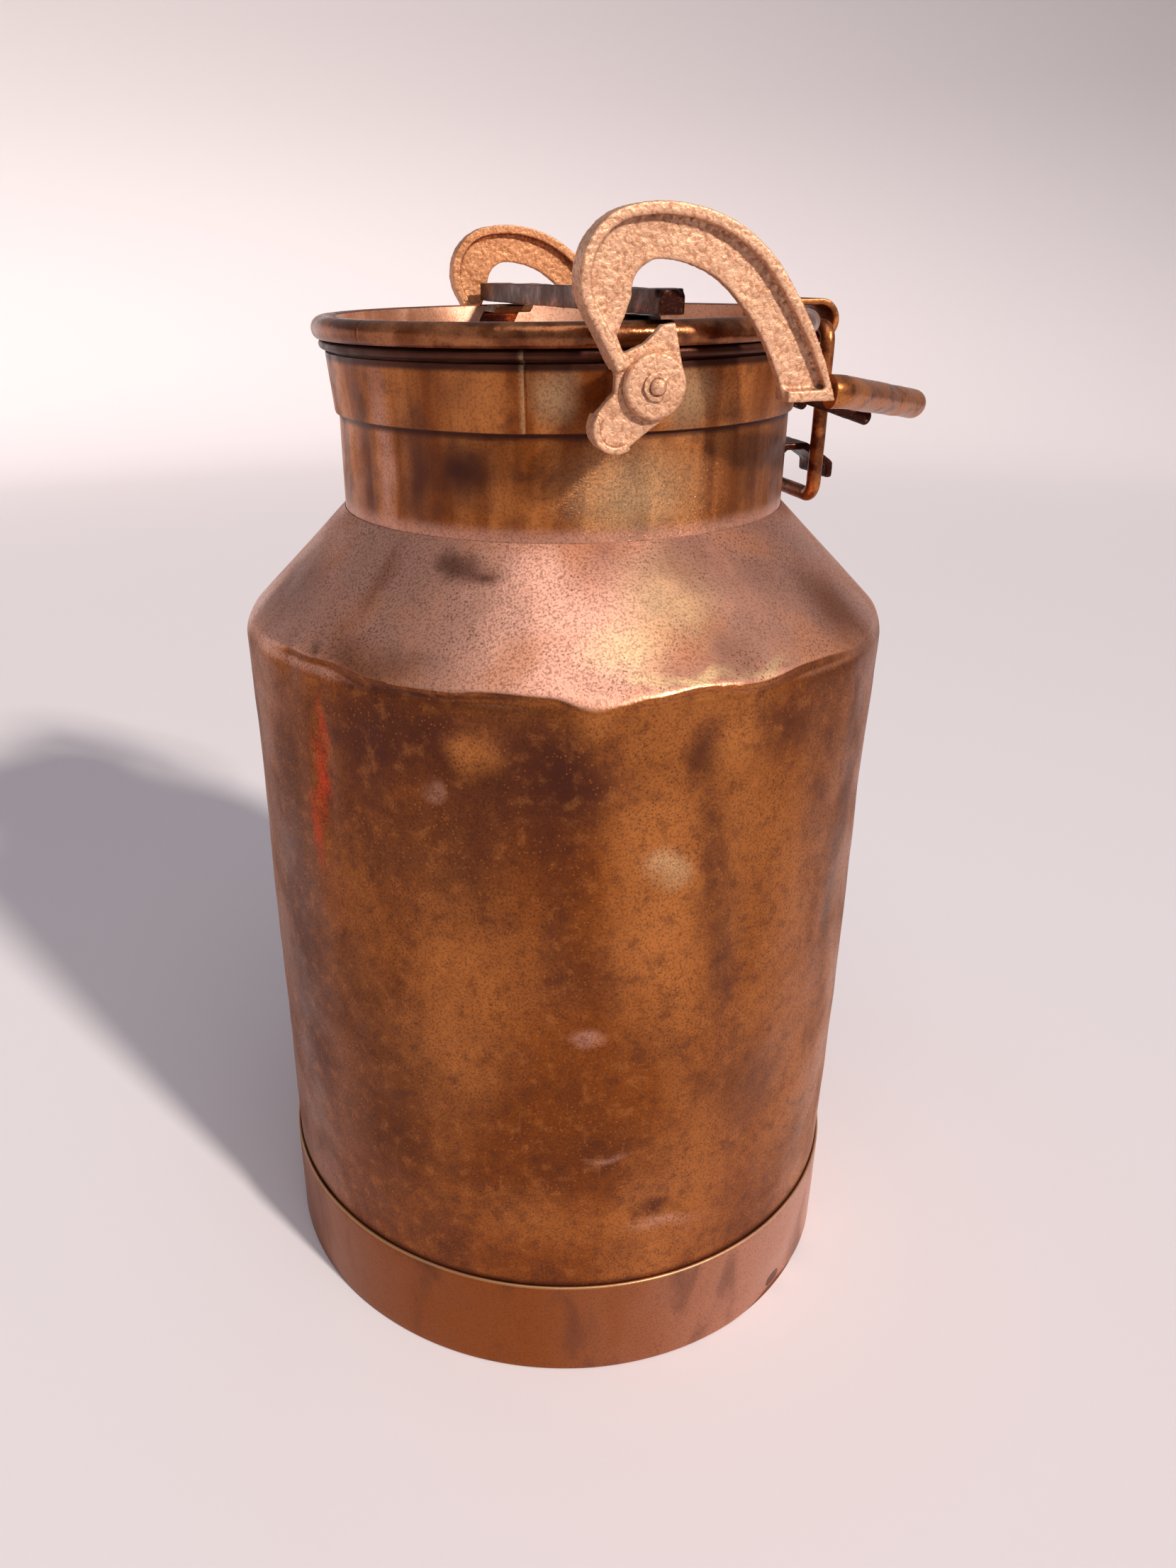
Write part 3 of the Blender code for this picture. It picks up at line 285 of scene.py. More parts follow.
class ChurnColours(bpy.types.PropertyGroup):
    """Colours of the churn's finishes"""

    # Pale also paints highlights on the crest, the shoulder, a dent, the foot's top edge and the collar's lap edge,
    # and patches of light on the neck and collar.
    pale: colour("Pale copper", "Rubbed edges and knocks", (0.86, 0.57, 0.30))
    # Rose also paints the sky's reflection on the shoulder, highlights in dents and at the neck's base, and a
    # reflection streak on the neck.
    rose: colour("Rose copper", "Worn copper on the shoulder", (0.66, 0.33, 0.23))
    # Golden also paints the key light's reflection at -90 to -88 on the wall, the highlight in the dent at -117.9 and
    # a reflection streak on the neck.
    golden: colour("Golden copper", "Polished copper on the wall", (0.56, 0.195, 0.050))
    brown: colour("Brown copper", "Common tone of the wall", (0.27, 0.070, 0.010))
    # Deep brown also paints dark reflection on the wall's left side.
    deep: colour("Deep brown", "Brown patina low on the wall", (0.125, 0.030, 0.003))
    # Umber also paints dark reflection high and on the left of the wall, and the shade under the crest and above the
    # foot hoop.
    umber: colour("Umber patina", "Dark patina in blotches", (0.085, 0.024, 0.014))
    red: colour("Red streak", "Streak of red oxide on the wall", (0.60, 0.060, 0.016))
    cast: colour("Cast copper", "Skin of the cast levers", (0.74, 0.42, 0.26))
    # Forged dark also paints the shade under the collar and under the rim on the neck.
    forged: colour("Forged dark", "Oxidised bar and straps", (0.045, 0.012, 0.008))
    rubber: colour("Rubber", "Seal under the rim", (0.05, 0.035, 0.03))


class ChurnStage(bpy.types.PropertyGroup):
    """Floor, light and camera"""

    floor: colour("Floor", "Colour of the floor and the wall behind", (0.80, 0.745, 0.76))
    key_power: FloatProperty(name="Key power", description="Strength of the key light", default=3.5, min=0)
    key_size: FloatProperty(name="Key size", description="Width of the key light in degrees", default=5, min=0)
    top_power: FloatProperty(name="Top power", description="Power of the overhead light in watts", default=7, min=0)
    top_size: length("Top size", "Width of the overhead light", 1.1)
    sky: FloatProperty(name="Sky", description="Strength of the light from all round", default=0.28, min=0)
    lens: FloatProperty(name="Lens", description="Focal length in millimetres", default=26.49, min=1)


# Plane geometry

def arc(centre, radius, start, end, steps=ARC_STEPS):
    """Points of an arc in a plane, both ends included."""
    points = []
    for i in range(steps + 1):
        angle = start + (end - start) * i / steps
        points.append((centre[0] + radius * math.cos(angle), centre[1] + radius * math.sin(angle)))
    return points


def polar(distance, angle):
    return (distance * math.cos(angle), distance * math.sin(angle))


def offset_line(points, distance):
    """The same line shifted to its right-hand side, with mitred corners."""
    shifted = []
    for i, point in enumerate(points):
        here = Vector(point)
        before = Vector(points[i - 1]) if i > 0 else None
        after = Vector(points[i + 1]) if i + 1 < len(points) else None
        sides = []
        for a, b in ((before, here), (here, after)):
            if a is not None and b is not None:
                run = (b - a).normalized()
                sides.append(Vector((run.y, -run.x)))
        normal = sum(sides, Vector((0, 0))).normalized()
        shifted.append(tuple(here + normal * (distance / normal.dot(sides[0]))))
    return shifted


def fine(points, spacing):
    """The same line with points no further apart than spacing."""
    line = [points[0]]
    for start, end in zip(points, points[1:]):
        start, end = Vector(start), Vector(end)
        steps = max(1, math.ceil((end - start).length / spacing))
        line += [tuple(start.lerp(end, i / steps)) for i in range(1, steps + 1)]
    return line


def smooth(value, low, high):
    """0 below low, 1 above high and a smooth step between."""
    share = min(1, max(0, (value - low) / (high - low)))
    return share * share * (3 - 2 * share)


def along(table, angle):
    """Value of an (angle, value) table at an angle, with smooth steps."""
    for (start, first), (end, last) in zip(table, table[1:]):
        if start <= angle <= end:
            return first + (last - first) * smooth(angle, start, end)
    return table[0][1]


# Meshes

def mesh_from(name, vertices, faces, sharp=SMOOTH_ANGLE):
    """Mesh with outward faces, smooth where it bends gently."""
    data = bpy.data.meshes.new(name)
    data.from_pydata(vertices, [], faces)
    shape = bmesh.new()
    shape.from_mesh(data)
    bmesh.ops.recalc_face_normals(shape, faces=shape.faces)
    shape.to_mesh(data)
    shape.free()
    data.shade_smooth()
    data.set_sharp_from_angle(angle=sharp)
    return data


def whole_turn(columns):
    return [-math.pi + math.tau * i / columns for i in range(columns)]


def turned(name, profile, columns=TURNED_COLUMNS, shift=None, angles=None):
    """Mesh of a closed (radius, height) outline turned about the Z axis."""
    angles = angles or whole_turn(columns)
    vertices, faces, rings = [], [], []
    for radius, height in profile:
        if abs(radius) < GAP / 10:
            rings.append([len(vertices)] * len(angles))
            vertices.append((0, 0, height))
            continue
        rings.append(list(range(len(vertices), len(vertices) + len(angles))))
        for angle in angles:
            reach = radius + (shift(math.degrees(angle), height) if shift else 0)
            vertices.append((reach * math.cos(angle), reach * math.sin(angle), height))
    for here, following in zip(rings, rings[1:] + rings[:1]):
        for i in range(len(angles)):
            j = (i + 1) % len(angles)
            corners = list(dict.fromkeys((here[i], here[j], following[j], following[i])))
            if len(corners) > 2:
                faces.append(corners)
    return mesh_from(name, vertices, faces)


def aim(data, start, direction):
    """Move a mesh that was turned about Z so that it stands at start, along direction."""
    turn = Vector((0, 0, 1)).rotation_difference(Vector(direction).normalized()).to_matrix().to_4x4()
    data.transform(Matrix.Translation(Vector(start)) @ turn)
    return data


def round_bar(name, radius, start, end, rounding=0, columns=SMALL_COLUMNS):
    """Mesh of a round bar between two points with a rounded far end."""
    run = Vector(end) - Vector(start)
    reach = run.length
    profile = [(0, 0), (radius, 0)]
    if rounding:
        profile += arc((radius - rounding, reach - rounding), rounding, 0, math.pi / 2, ARC_STEPS // 2)
    else:
        profile.append((radius, reach))
    profile.append((0, reach))
    return aim(turned(name, profile, columns), start, run)


def rivet(name, radius, head_radius, head_rise, start, head_base, columns=SMALL_COLUMNS):
    """Mesh of a rivet whose hammered head has a small rolled foot."""
    run = Vector(head_base) - Vector(start)
    reach = run.length
    foot = head_rise * 0.3
    profile = [(0, 0), (radius, 0), (radius, reach), (head_radius - foot / 2, reach), (head_radius, reach + foot / 2)]
    for x, z in arc((0, 0), 1, 0.25, math.pi / 2, ARC_STEPS):
        profile.append((x * head_radius / math.cos(0.25), reach + foot / 2 + z * (head_rise - foot / 2)))
    profile[-1] = (0, reach + head_rise)
    return aim(turned(name, profile, columns), start, run)


def prism(name, outline, start, end):
    """Mesh of an (x, z) outline pushed along Y from start to end."""
    count = len(outline)
    vertices = [(x, y, z) for y in (start, end) for x, z in outline]
    faces = [list(range(count)), list(range(2 * count - 1, count - 1, -1))]
    for i in range(count):
        j = (i + 1) % count
        faces.append((i, j, count + j, count + i))
    return mesh_from(name, vertices, faces)


def strap(name, outer, thickness, width, edge=0.0007):
    """Mesh of a flat strip bent along a line in (x, z), with rounded edges and ends."""
    line = fine(outer, 0.004)
    first, second, last, before = (Vector(line[i]) for i in (0, 1, -1, -2))
    line.insert(1, tuple(first + (second - first).normalized() * edge))
    line.insert(-1, tuple(last + (before - last).normalized() * edge))
    back = offset_line(line, thickness)
    corner = [polar(edge, math.pi / 2 * i / 3) for i in range(4)]
    section = []
    for turn, (u, y) in enumerate(((1, 1), (-1, 1), (-1, -1), (1, -1))):
        for a, b in (corner if turn % 2 == 0 else [(b, a) for a, b in corner]):
            section.append((u * (thickness / 2 - edge + a), y * (width / 2 - edge + b)))
    vertices, faces = [], []
    for i, (front, rear) in enumerate(zip(line, back)):
        front, rear = Vector(front), Vector(rear)
        middle, out = (front + rear) / 2, (front - rear).normalized()
        stretch = (front - rear).length / thickness
        inset = edge if i in (0, len(line) - 1) else 0
        for u, y in section:
            u = math.copysign(max(0, abs(u) - inset), u) * stretch
            y = math.copysign(max(0, abs(y) - inset), y)
            point = middle + out * u
            vertices.append((point.x, y, point.y))
    count = len(section)
    for i in range(len(line) - 1):
        for j in range(count):
            k = (j + 1) % count
            faces.append((i * count + j, i * count + k, (i + 1) * count + k, (i + 1) * count + j))
    faces.append(list(range(count)))
    faces.append(list(range(len(vertices) - count, len(vertices))))
    return mesh_from(name, vertices, faces)


def rounded_path(corners, radius, closed=False, steps=ARC_STEPS):
    """Points along straight runs whose corners are rounded."""
    corners = [Vector(corner) for corner in corners]
    count = len(corners)
    points = []
    for i, corner in enumerate(corners):
        if not closed and i in (0, count - 1):
            points.append(corner)
            continue
        back = (corners[i - 1] - corner).normalized()
        ahead = (corners[(i + 1) % count] - corner).normalized()
        half = back.angle(ahead) / 2
        reach = radius / math.tan(half)
        centre = corner + (back + ahead).normalized() * (radius / math.sin(half))
        start = corner + back * reach - centre
        sweep = math.pi - 2 * half
        side = (corner + ahead * reach - centre - start * math.cos(sweep)) / math.sin(sweep)
        for step in range(steps + 1):
            turn = sweep * step / steps
            points.append(centre + start * math.cos(turn) + side * math.sin(turn))
    return points


def tube(name, points, radius, closed=False):
    """Mesh of a round rod along a path."""
    corners = [tuple(point) for point in points] + ([tuple(points[0])] if closed else [])
    points = [Vector(point) for point in fine(corners, ROD_SPACING)]
    if closed:
        points.pop()
    count = len(points)
    tangents = []
    for i in range(count):
        before = points[i - 1] if closed or i else points[0]
        after = points[(i + 1) % count] if closed or i + 1 < count else points[-1]
        tangents.append((after - before).normalized())
    normal = tangents[0].orthogonal().normalized()
    rings = []
    for i, (point, tangent) in enumerate(zip(points, tangents)):
        if i:
            normal = tangents[i - 1].rotation_difference(tangent) @ normal
        side = tangent.cross(normal)
        rings.append([point + (normal * math.cos(a) + side * math.sin(a)) * radius
                      for a in whole_turn(ROD_COLUMNS)])
    vertices = [tuple(v) for ring in rings for v in ring]
    faces = []
    for i in range(count if closed else count - 1):
        k = (i + 1) % count
        for j in range(ROD_COLUMNS):
            following = (j + 1) % ROD_COLUMNS
            faces.append((i * ROD_COLUMNS + j, i * ROD_COLUMNS + following,
                          k * ROD_COLUMNS + following, k * ROD_COLUMNS + j))
    if not closed:
        faces.append(list(range(ROD_COLUMNS)))
        faces.append(list(range(len(vertices) - ROD_COLUMNS, len(vertices))))
    return mesh_from(name, vertices, faces)


def forged(name, base, steps=(), voxel=0, rounds=0):
    """Mesh of a solid after its unions and cuts, with a softened skin where voxel isn't 0."""
    scene = bpy.context.scene
    holders = []
    for data in (base, *(tool for tool, _ in steps)):
        holder = bpy.data.objects.new(f"{name}_form", data)
        scene.collection.objects.link(holder)
        holders.append(holder)
    body = holders[0]
    for holder, (_, operation) in zip(holders[1:], steps):
        step = body.modifiers.new(operation, "BOOLEAN")
        step.operation = operation
        step.solver = "EXACT"
        step.object = holder
    if voxel:
        skin = body.modifiers.new("skin", "REMESH")
        skin.mode = "VOXEL"
        skin.voxel_size = voxel
        skin.use_smooth_shade = True
        soften = body.modifiers.new("soften", "SMOOTH")
        soften.factor = 0.5
        soften.iterations = rounds
    bpy.context.view_layer.update()
    made = bpy.data.meshes.new_from_object(body.evaluated_get(bpy.context.evaluated_depsgraph_get()))
    made.name = name
    for holder in holders:
        used = holder.data
        bpy.data.objects.remove(holder)
        bpy.data.meshes.remove(used)
    made.materials.clear()
    made.shade_smooth()
    if not voxel:
        made.set_sharp_from_angle(angle=SMOOTH_ANGLE)
    return made


def roughen(data, layers, place=(0, 0, 0), creased=False):
    """Sink a mesh's points into it by layers of (depth, lump size), never out of it."""
    origin = Vector(place)
    moved = []
    for vertex in data.vertices:
        sunk = 0
        for depth, size in layers:
            lump = noise.noise((vertex.co + origin) / size)
            sunk += depth * (1 - min(1, abs(lump) * 2.2) if creased else 0.5 - lump / 2)
        moved.append(vertex.co - vertex.normal * sunk)
    for vertex, point in zip(data.vertices, moved):
        vertex.co = point
    data.update()
    return data


def add_piece(name, data, body, nodes, material):
    """Show a piece in place of the CAD nodes it stands for."""
    made = bpy.data.objects.new(name, data)
    bpy.context.scene.collection.objects.link(made)
    data.materials.append(material)
    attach(made, body)
    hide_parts(*nodes)
    return made


# Materials

class Finish:
    """One material and the nodes that are added to it."""

    def __init__(self, name, metallic=1.0, roughness=0.4):
        self.material = bpy.data.materials.new(name)
        self.material.use_nodes = True
        self.tree = self.material.node_tree
        self.shader = self.tree.nodes["Principled BSDF"]
        self.shader.inputs["Metallic"].default_value = metallic
        self.shader.inputs["Roughness"].default_value = roughness
        self.shader.inputs["Specular IOR Level"].default_value = 0.3
        found = self.tree.nodes.new("ShaderNodeTexCoord")
        self.place = found.outputs["Object"]
        self.facing = found.outputs["Normal"]

    def feed(self, socket, value):
        """Link a socket to another one, or set its number or colour."""
        if isinstance(value, bpy.types.NodeSocket):
            self.tree.links.new(value, socket)
        elif value is not None:
            socket.default_value = (*value, 1) if socket.type == "RGBA" else value

    def maths(self, operation, first, second=None):
        node = self.tree.nodes.new("ShaderNodeMath")
        node.operation = operation
        self.feed(node.inputs[0], first)
        self.feed(node.inputs[1], second)
        return node.outputs[0]

    def vector(self, operation, first, second=None):
        node = self.tree.nodes.new("ShaderNodeVectorMath")
        node.operation = operation
        self.feed(node.inputs[0], first)
        self.feed(node.inputs[1], second)
        return node.outputs["Value" if operation in ("LENGTH", "DOT_PRODUCT") else "Vector"]

    def split(self, vector):
        node = self.tree.nodes.new("ShaderNodeSeparateXYZ")
        self.feed(node.inputs[0], vector)
        return node.outputs

    def between(self, value, low, high, first=0.0, last=1.0):
        """Smooth step of a value from first at low to last at high."""
        node = self.tree.nodes.new("ShaderNodeMapRange")
        node.interpolation_type = "SMOOTHSTEP"
        for socket, number in zip(node.inputs, (value, low, high, first, last)):
            self.feed(socket, number)
        return node.outputs[0]

    def noise(self, size, detail=3, stretch=None, distortion=0.0, colours=False):
        """Soft noise, 0 to 1, in lumps about size across."""
        node = self.tree.nodes.new("ShaderNodeTexNoise")
        where = self.vector("MULTIPLY", self.place, stretch) if stretch else self.place
        self.feed(node.inputs["Vector"], where)
        node.inputs["Scale"].default_value = 1 / size
        node.inputs["Detail"].default_value = detail
        node.inputs["Distortion"].default_value = distortion
        return node.outputs["Color" if colours else "Fac"]

    def cells(self, size):
        """Distance to the middle of the nearest cell, in cells about size across."""
        node = self.tree.nodes.new("ShaderNodeTexVoronoi")
        self.feed(node.inputs["Vector"], self.place)
        node.inputs["Scale"].default_value = 1 / size
        return node.outputs["Distance"]

    def warped(self, size, reach):
        """The place, shifted by noise so that marks get uneven edges."""
        push = self.vector("SUBTRACT", self.noise(size, 3, colours=True), (0.5, 0.5, 0.5))
        return self.vector("ADD", self.place, self.vector("MULTIPLY", push, (2 * reach,) * 3))

    def blend(self, share, under, over):
        node = self.tree.nodes.new("ShaderNodeMix")
        node.data_type = "RGBA"
        self.feed(node.inputs[0], share)
        self.feed(node.inputs[6], under)
        self.feed(node.inputs[7], over)
        return node.outputs[2]

    def bump(self, height, strength, distance, under=None):
        node = self.tree.nodes.new("ShaderNodeBump")
        node.inputs["Strength"].default_value = strength
        node.inputs["Distance"].default_value = distance
        self.feed(node.inputs["Height"], height)
        self.feed(node.inputs["Normal"], under)
        return node.outputs[0]

    def spot(self, flat, centre, reach, edge=0.05):
        """1 in the middle of an oval and 0 outside its reach."""
        inside = self.vector("DIVIDE", self.vector("SUBTRACT", flat, (*centre, 0)), (*reach, 1))
        return self.between(self.vector("LENGTH", inside), 1.0, edge)

    def unrolled(self, place, radius):
        """(distance round the can from the photographed side, height, 0) of a place."""
        turn = self.tree.nodes.new("ShaderNodeVectorRotate")
        turn.rotation_type = "Z_AXIS"
        turn.inputs["Angle"].default_value = math.radians(FRONT)
        self.feed(turn.inputs["Vector"], place)
        x, y, z = self.split(turn.outputs[0])
        node = self.tree.nodes.new("ShaderNodeCombineXYZ")
        self.feed(node.inputs[0], self.maths("MULTIPLY", self.maths("ARCTAN2", y, x), radius))
        self.feed(node.inputs[1], z)
        return node.outputs[0]

    def marks(self, colour_now, flat, radius, table):
        """Lay a table of (angle, height, half width, half height, colour, share) over a colour."""
        for angle, height, wide, high, tone, share in table:
            centre = (math.radians(angle + FRONT) * radius, height)
            inside = self.maths("MULTIPLY", self.spot(flat, centre, (wide * 1.3, high * 1.3)), share)
            colour_now = self.blend(inside, colour_now, tone)
        return colour_now

    def wear(self, colour_now, roughness_now, bump_now):
        self.feed(self.shader.inputs["Base Color"], colour_now)
        self.feed(self.shader.inputs["Roughness"], roughness_now)
        self.feed(self.shader.inputs["Normal"], bump_now)
        return self.material


# Turn about Z, in degrees, that puts the photographed side in the middle of the unrolled surface
FRONT = 105

# Tones of single pieces
# Far castings: a darker, more orange copy of the cast skin, painted for the other light on the far lever.
FAR_CAST = (0.66, 0.31, 0.15)
GRIP_COPPER = (0.42, 0.140, 0.045)
LINK_COPPER = (0.34, 0.11, 0.04)
STRAP_COPPER = (0.36, 0.13, 0.05)
RIM_COPPER = (0.20, 0.060, 0.020)
RIM_BRIGHT = (0.40, 0.150, 0.060)
PAN_COPPER = (0.72, 0.36, 0.22)
PAN_BRIGHT = (0.84, 0.50, 0.34)
FORGED_SPECKS = (0.30, 0.15, 0.07)
FORGED_EDGES = (0.40, 0.22, 0.10)
RUBBER_DUST = (0.14, 0.10, 0.08)

# Marks of patina and wear, with painted highlights, reflections and shade among them: angle in degrees, height, half
# width, half height, colour's name, share
WALL_MARKS = (
    # Umber marks high on the wall below the crest, and the umber and deep marks on the left from -160 to -137: patina
    # together with painted dark reflection.
    (-124, 0.3090, 0.050, 0.024, "umber", 0.88), (-106, 0.3060, 0.024, 0.022, "umber", 0.85),
    (-101.5, 0.2960, 0.012, 0.020, "umber", 0.80), (-137, 0.3000, 0.020, 0.034, "umber", 0.80),
    (-114, 0.2850, 0.045, 0.026, "umber", 0.60), (-122, 0.2620, 0.040, 0.030, "umber", 0.45),
    (-104, 0.2450, 0.012, 0.060, "umber", 0.45), (-160, 0.2000, 0.030, 0.140, "umber", 0.60),
    # Golden marks at -90 and -88: painted reflection of the key light on the wall.
    (-90, 0.2750, 0.022, 0.022, "golden", 0.60), (-88, 0.2350, 0.024, 0.060, "golden", 0.85),
    (-82.5, 0.3040, 0.012, 0.016, "umber", 0.78), (-79.5, 0.2620, 0.009, 0.036, "umber", 0.62),
    (-76, 0.2100, 0.008, 0.040, "umber", 0.52), (-75.2, 0.3057, 0.015, 0.010, "golden", 0.80),
    (-65, 0.2500, 0.020, 0.050, "golden", 0.40), (-64.7, 0.3060, 0.016, 0.014, "umber", 0.50),
    (-56, 0.2800, 0.014, 0.050, "umber", 0.38), (-60, 0.2050, 0.018, 0.050, "golden", 0.30),
    (-46, 0.2500, 0.012, 0.090, "deep", 0.70), (-140, 0.1500, 0.040, 0.100, "deep", 0.75),
    (-157, 0.2200, 0.020, 0.120, "deep", 0.60), (-110, 0.1350, 0.070, 0.040, "deep", 0.40),
    (-122, 0.1750, 0.028, 0.040, "golden", 0.50),
    (-113, 0.2130, 0.030, 0.040, "golden", 0.30), (-137, 0.1200, 0.030, 0.040, "deep", 0.50),
    (-67.5, 0.1445, 0.022, 0.030, "umber", 0.48), (-52, 0.0920, 0.020, 0.030, "umber", 0.35),
    (-106, 0.0890, 0.050, 0.018, "golden", 0.40), (-80, 0.1100, 0.030, 0.030, "golden", 0.35),
    # Bright marks on the dents at -117.9, -98.5, -87.4 and -85.7: painted highlights in the dents.
    (-117.9, 0.3055, 0.013, 0.010, "golden", 0.90), (-125.1, 0.2886, 0.006, 0.005, "rose", 0.45),
    (-88, 0.2600, 0.010, 0.008, "pale", 0.50), (-99.7, 0.1846, 0.008, 0.006, "rose", 0.60),
    (-87.5, 0.0934, 0.010, 0.007, "umber", 0.82), (-85.7, 0.0830, 0.016, 0.006, "rose", 0.50),
    (-96.5, 0.1236, 0.010, 0.0025, "rose", 0.45), (-99, 0.3220, 0.009, 0.012, "golden", 0.75),
    # Thin umber lines at -137, -125 and -113 under the crest: painted shade below the crest's edge.
    (-125, 0.3270, 0.018, 0.0026, "umber", 0.88), (-137, 0.3285, 0.014, 0.0024, "umber", 0.80),
    (-113, 0.3280, 0.012, 0.0022, "umber", 0.60), (-146, 0.3020, 0.0036, 0.016, "red", 0.70),
    (-147.8, 0.2810, 0.0042, 0.018, "red", 0.85), (-149.3, 0.2570, 0.0036, 0.018, "red", 0.70),
    (20, 0.2500, 0.060, 0.070, "umber", 0.60), (60, 0.1400, 0.070, 0.060, "golden", 0.45),
    (120, 0.2700, 0.080, 0.050, "umber", 0.70), (150, 0.1500, 0.050, 0.080, "golden", 0.40),
    (-20, 0.1800, 0.040, 0.090, "umber", 0.45),
)
SHOULDER_MARKS = (
    # On the shoulder the rose marks also paint the sky's reflection. The pale marks at -94 and -84.6 are painted
    # highlights, and the thin pale ones on the crest at -91, -82.6 and -71 are the crest's painted highlight.
    (-120.5, 0.3478, 0.040, 0.010, "rose", 0.75), (-128.5, 0.3680, 0.012, 0.0050, "umber", 0.72),
    (-121, 0.3625, 0.014, 0.0040, "umber", 0.78), (-125, 0.3655, 0.010, 0.0050, "umber", 0.60),
    (-172, 0.3450, 0.034, 0.020, "umber", 0.62), (-151, 0.3555, 0.009, 0.014, "rose", 0.60),
    (-143, 0.3570, 0.008, 0.014, "brown", 0.45), (-140, 0.3345, 0.026, 0.008, "brown", 0.68),
    (-130, 0.3350, 0.020, 0.004, "umber", 0.30), (-84.6, 0.3560, 0.028, 0.014, "pale", 0.60),
    (-94, 0.3430, 0.020, 0.009, "pale", 0.55), (-66, 0.3525, 0.022, 0.014, "rose", 0.60),
    (-44, 0.3400, 0.024, 0.018, "brown", 0.80), (-157.1, 0.3292, 0.007, 0.008, "rose", 0.50),
    (-149.4, 0.3328, 0.007, 0.007, "rose", 0.50), (-157.1, 0.3290, 0.003, 0.004, "umber", 0.60),
    (-149.4, 0.3322, 0.003, 0.0035, "umber", 0.60), (-82.6, 0.3330, 0.018, 0.0024, "pale", 0.85),
    (-91, 0.3335, 0.012, 0.0034, "pale", 0.60), (-71, 0.3330, 0.014, 0.0020, "pale", 0.60),
    (40, 0.3520, 0.050, 0.0120, "umber", 0.45), (130, 0.3450, 0.060, 0.0140, "brown", 0.60),
)
NECK_MARKS = (
    # Tall narrow marks at -166, -157 and -150: painted reflection streaks.
    (-166, 0.3950, 0.010, 0.030, "golden", 0.50), (-157, 0.3950, 0.005, 0.045, "umber", 0.60),
    (-150, 0.4000, 0.006, 0.040, "rose", 0.75), (-140, 0.3950, 0.010, 0.034, "umber", 0.92),
    (-127, 0.3980, 0.018, 0.016, "forged", 0.96), (-116, 0.3860, 0.014, 0.010, "golden", 0.45),
    # Pale mark at -88: painted light where the key light falls on the neck.
    (-88, 0.3900, 0.030, 0.020, "pale", 0.50), (-58, 0.3930, 0.024, 0.026, "deep", 0.65),
    (-38, 0.3950, 0.020, 0.050, "deep", 0.80), (-127, 0.4260, 0.016, 0.012, "umber", 0.45),
    # Pale marks at -106 and -77 on the collar: painted patches of light, the one at -106 falling through the lever's
    # opening.
    (-120, 0.4240, 0.010, 0.009, "golden", 0.65), (-106, 0.4250, 0.009, 0.012, "pale", 0.55),
    (-77, 0.4240, 0.012, 0.014, "pale", 0.45), (-56, 0.4240, 0.010, 0.012, "brown", 0.60),
    (30, 0.3900, 0.060, 0.030, "umber", 0.60), (120, 0.3950, 0.050, 0.025, "umber", 0.55),
)


def named_marks(table, colours):
    """The marks with each colour's name changed to the colour."""
    return [(*row[:4], tuple(getattr(colours, row[4])), row[5]) for row in table]


def tones(colours, *names):
    """The colours of these names as plain tuples."""
    return [tuple(getattr(colours, name)) for name in names]


def body_copper(colours):
    """Dented sheet copper: rose on the shoulder, brown and gold in blotches on the wall, with painted highlights,
    reflections and shade among them.
    """
    make = Finish("body_copper", 0.86)
    radius = BARREL_HIGH.x
    flat = make.unrolled(make.warped(0.024, 0.009), radius)
    umber, brown, golden, rose = tones(colours, "umber", "brown", "golden", "rose")
    tone = make.noise(0.080, 4, stretch=(1, 1, 0.35), distortion=0.2)
    wall = make.blend(make.between(tone, 0.38, 0.72, 0, 0.8), brown, golden)
    cloud = make.noise(0.034, 5, distortion=0.2)
    wall = make.blend(make.between(cloud, 0.42, 0.78, 0, 0.55), wall, umber)
    wall = make.marks(wall, flat, radius, named_marks(WALL_MARKS, colours))
    mottle = make.noise(0.0065, 5)
    wall = make.blend(make.between(mottle, 0.50, 0.72, 0, 0.42), wall, umber)
    wall = make.blend(make.between(mottle, 0.48, 0.28, 0, 0.30), wall, golden)
    height = make.split(make.place)[2]
    # Painted shade in the gap just above the foot hoop's top edge.
    wall = make.blend(make.between(height, FOOT_HIGH.z + 0.0040, FOOT_HIGH.z + 0.0008, 0, 0.7), wall, umber)
    # Shoulder tone: rose worn copper that also paints the sky's reflection on the upward-facing cone.
    top = make.blend(make.between(cloud, 0.45, 0.70, 0, 0.40), rose, golden)
    top = make.blend(make.between(tone, 0.55, 0.72, 0, 0.40), top, brown)
    top = make.marks(top, flat, radius, named_marks(SHOULDER_MARKS, colours))
    # Where the surface faces up, the shoulder tone with its painted sky reflection replaces the wall's tone.
    up = make.split(make.facing)[2]
    shade = make.blend(make.between(up, 0.18, 0.50), wall, top)
    grit = make.noise(0.0009, 2)
    patch = make.noise(0.018, 3)
    pits = make.maths("MULTIPLY", make.between(make.cells(0.0015), 0.36, 0.12),
                      make.between(patch, 0.40, 0.62, 0.1, 0.7))
    shade = make.blend(pits, shade, umber)
    specks = make.maths("MULTIPLY", make.between(make.cells(0.0019), 0.30, 0.10),
                        make.between(patch, 0.60, 0.42, 0.1, 0.45))
    shade = make.blend(specks, shade, golden)
    shade = make.blend(make.between(grit, 0.46, 0.64, 0, 0.44), shade, umber)
    scratch = make.noise(0.0007, 2, stretch=(1, 1, 0.05))
    shade = make.blend(make.between(scratch, 0.68, 0.80, 0, 0.14), shade, rose)
    gloss = make.maths("ADD", make.between(cloud, 0.35, 0.70, 0.33, 0.50), make.between(grit, 0.40, 0.65, 0.0, 0.08))
    hammered = make.bump(make.noise(0.011, 2), 0.20, 0.0010)
    return make.wear(shade, gloss, make.bump(grit, 0.22, 0.0003, hammered))


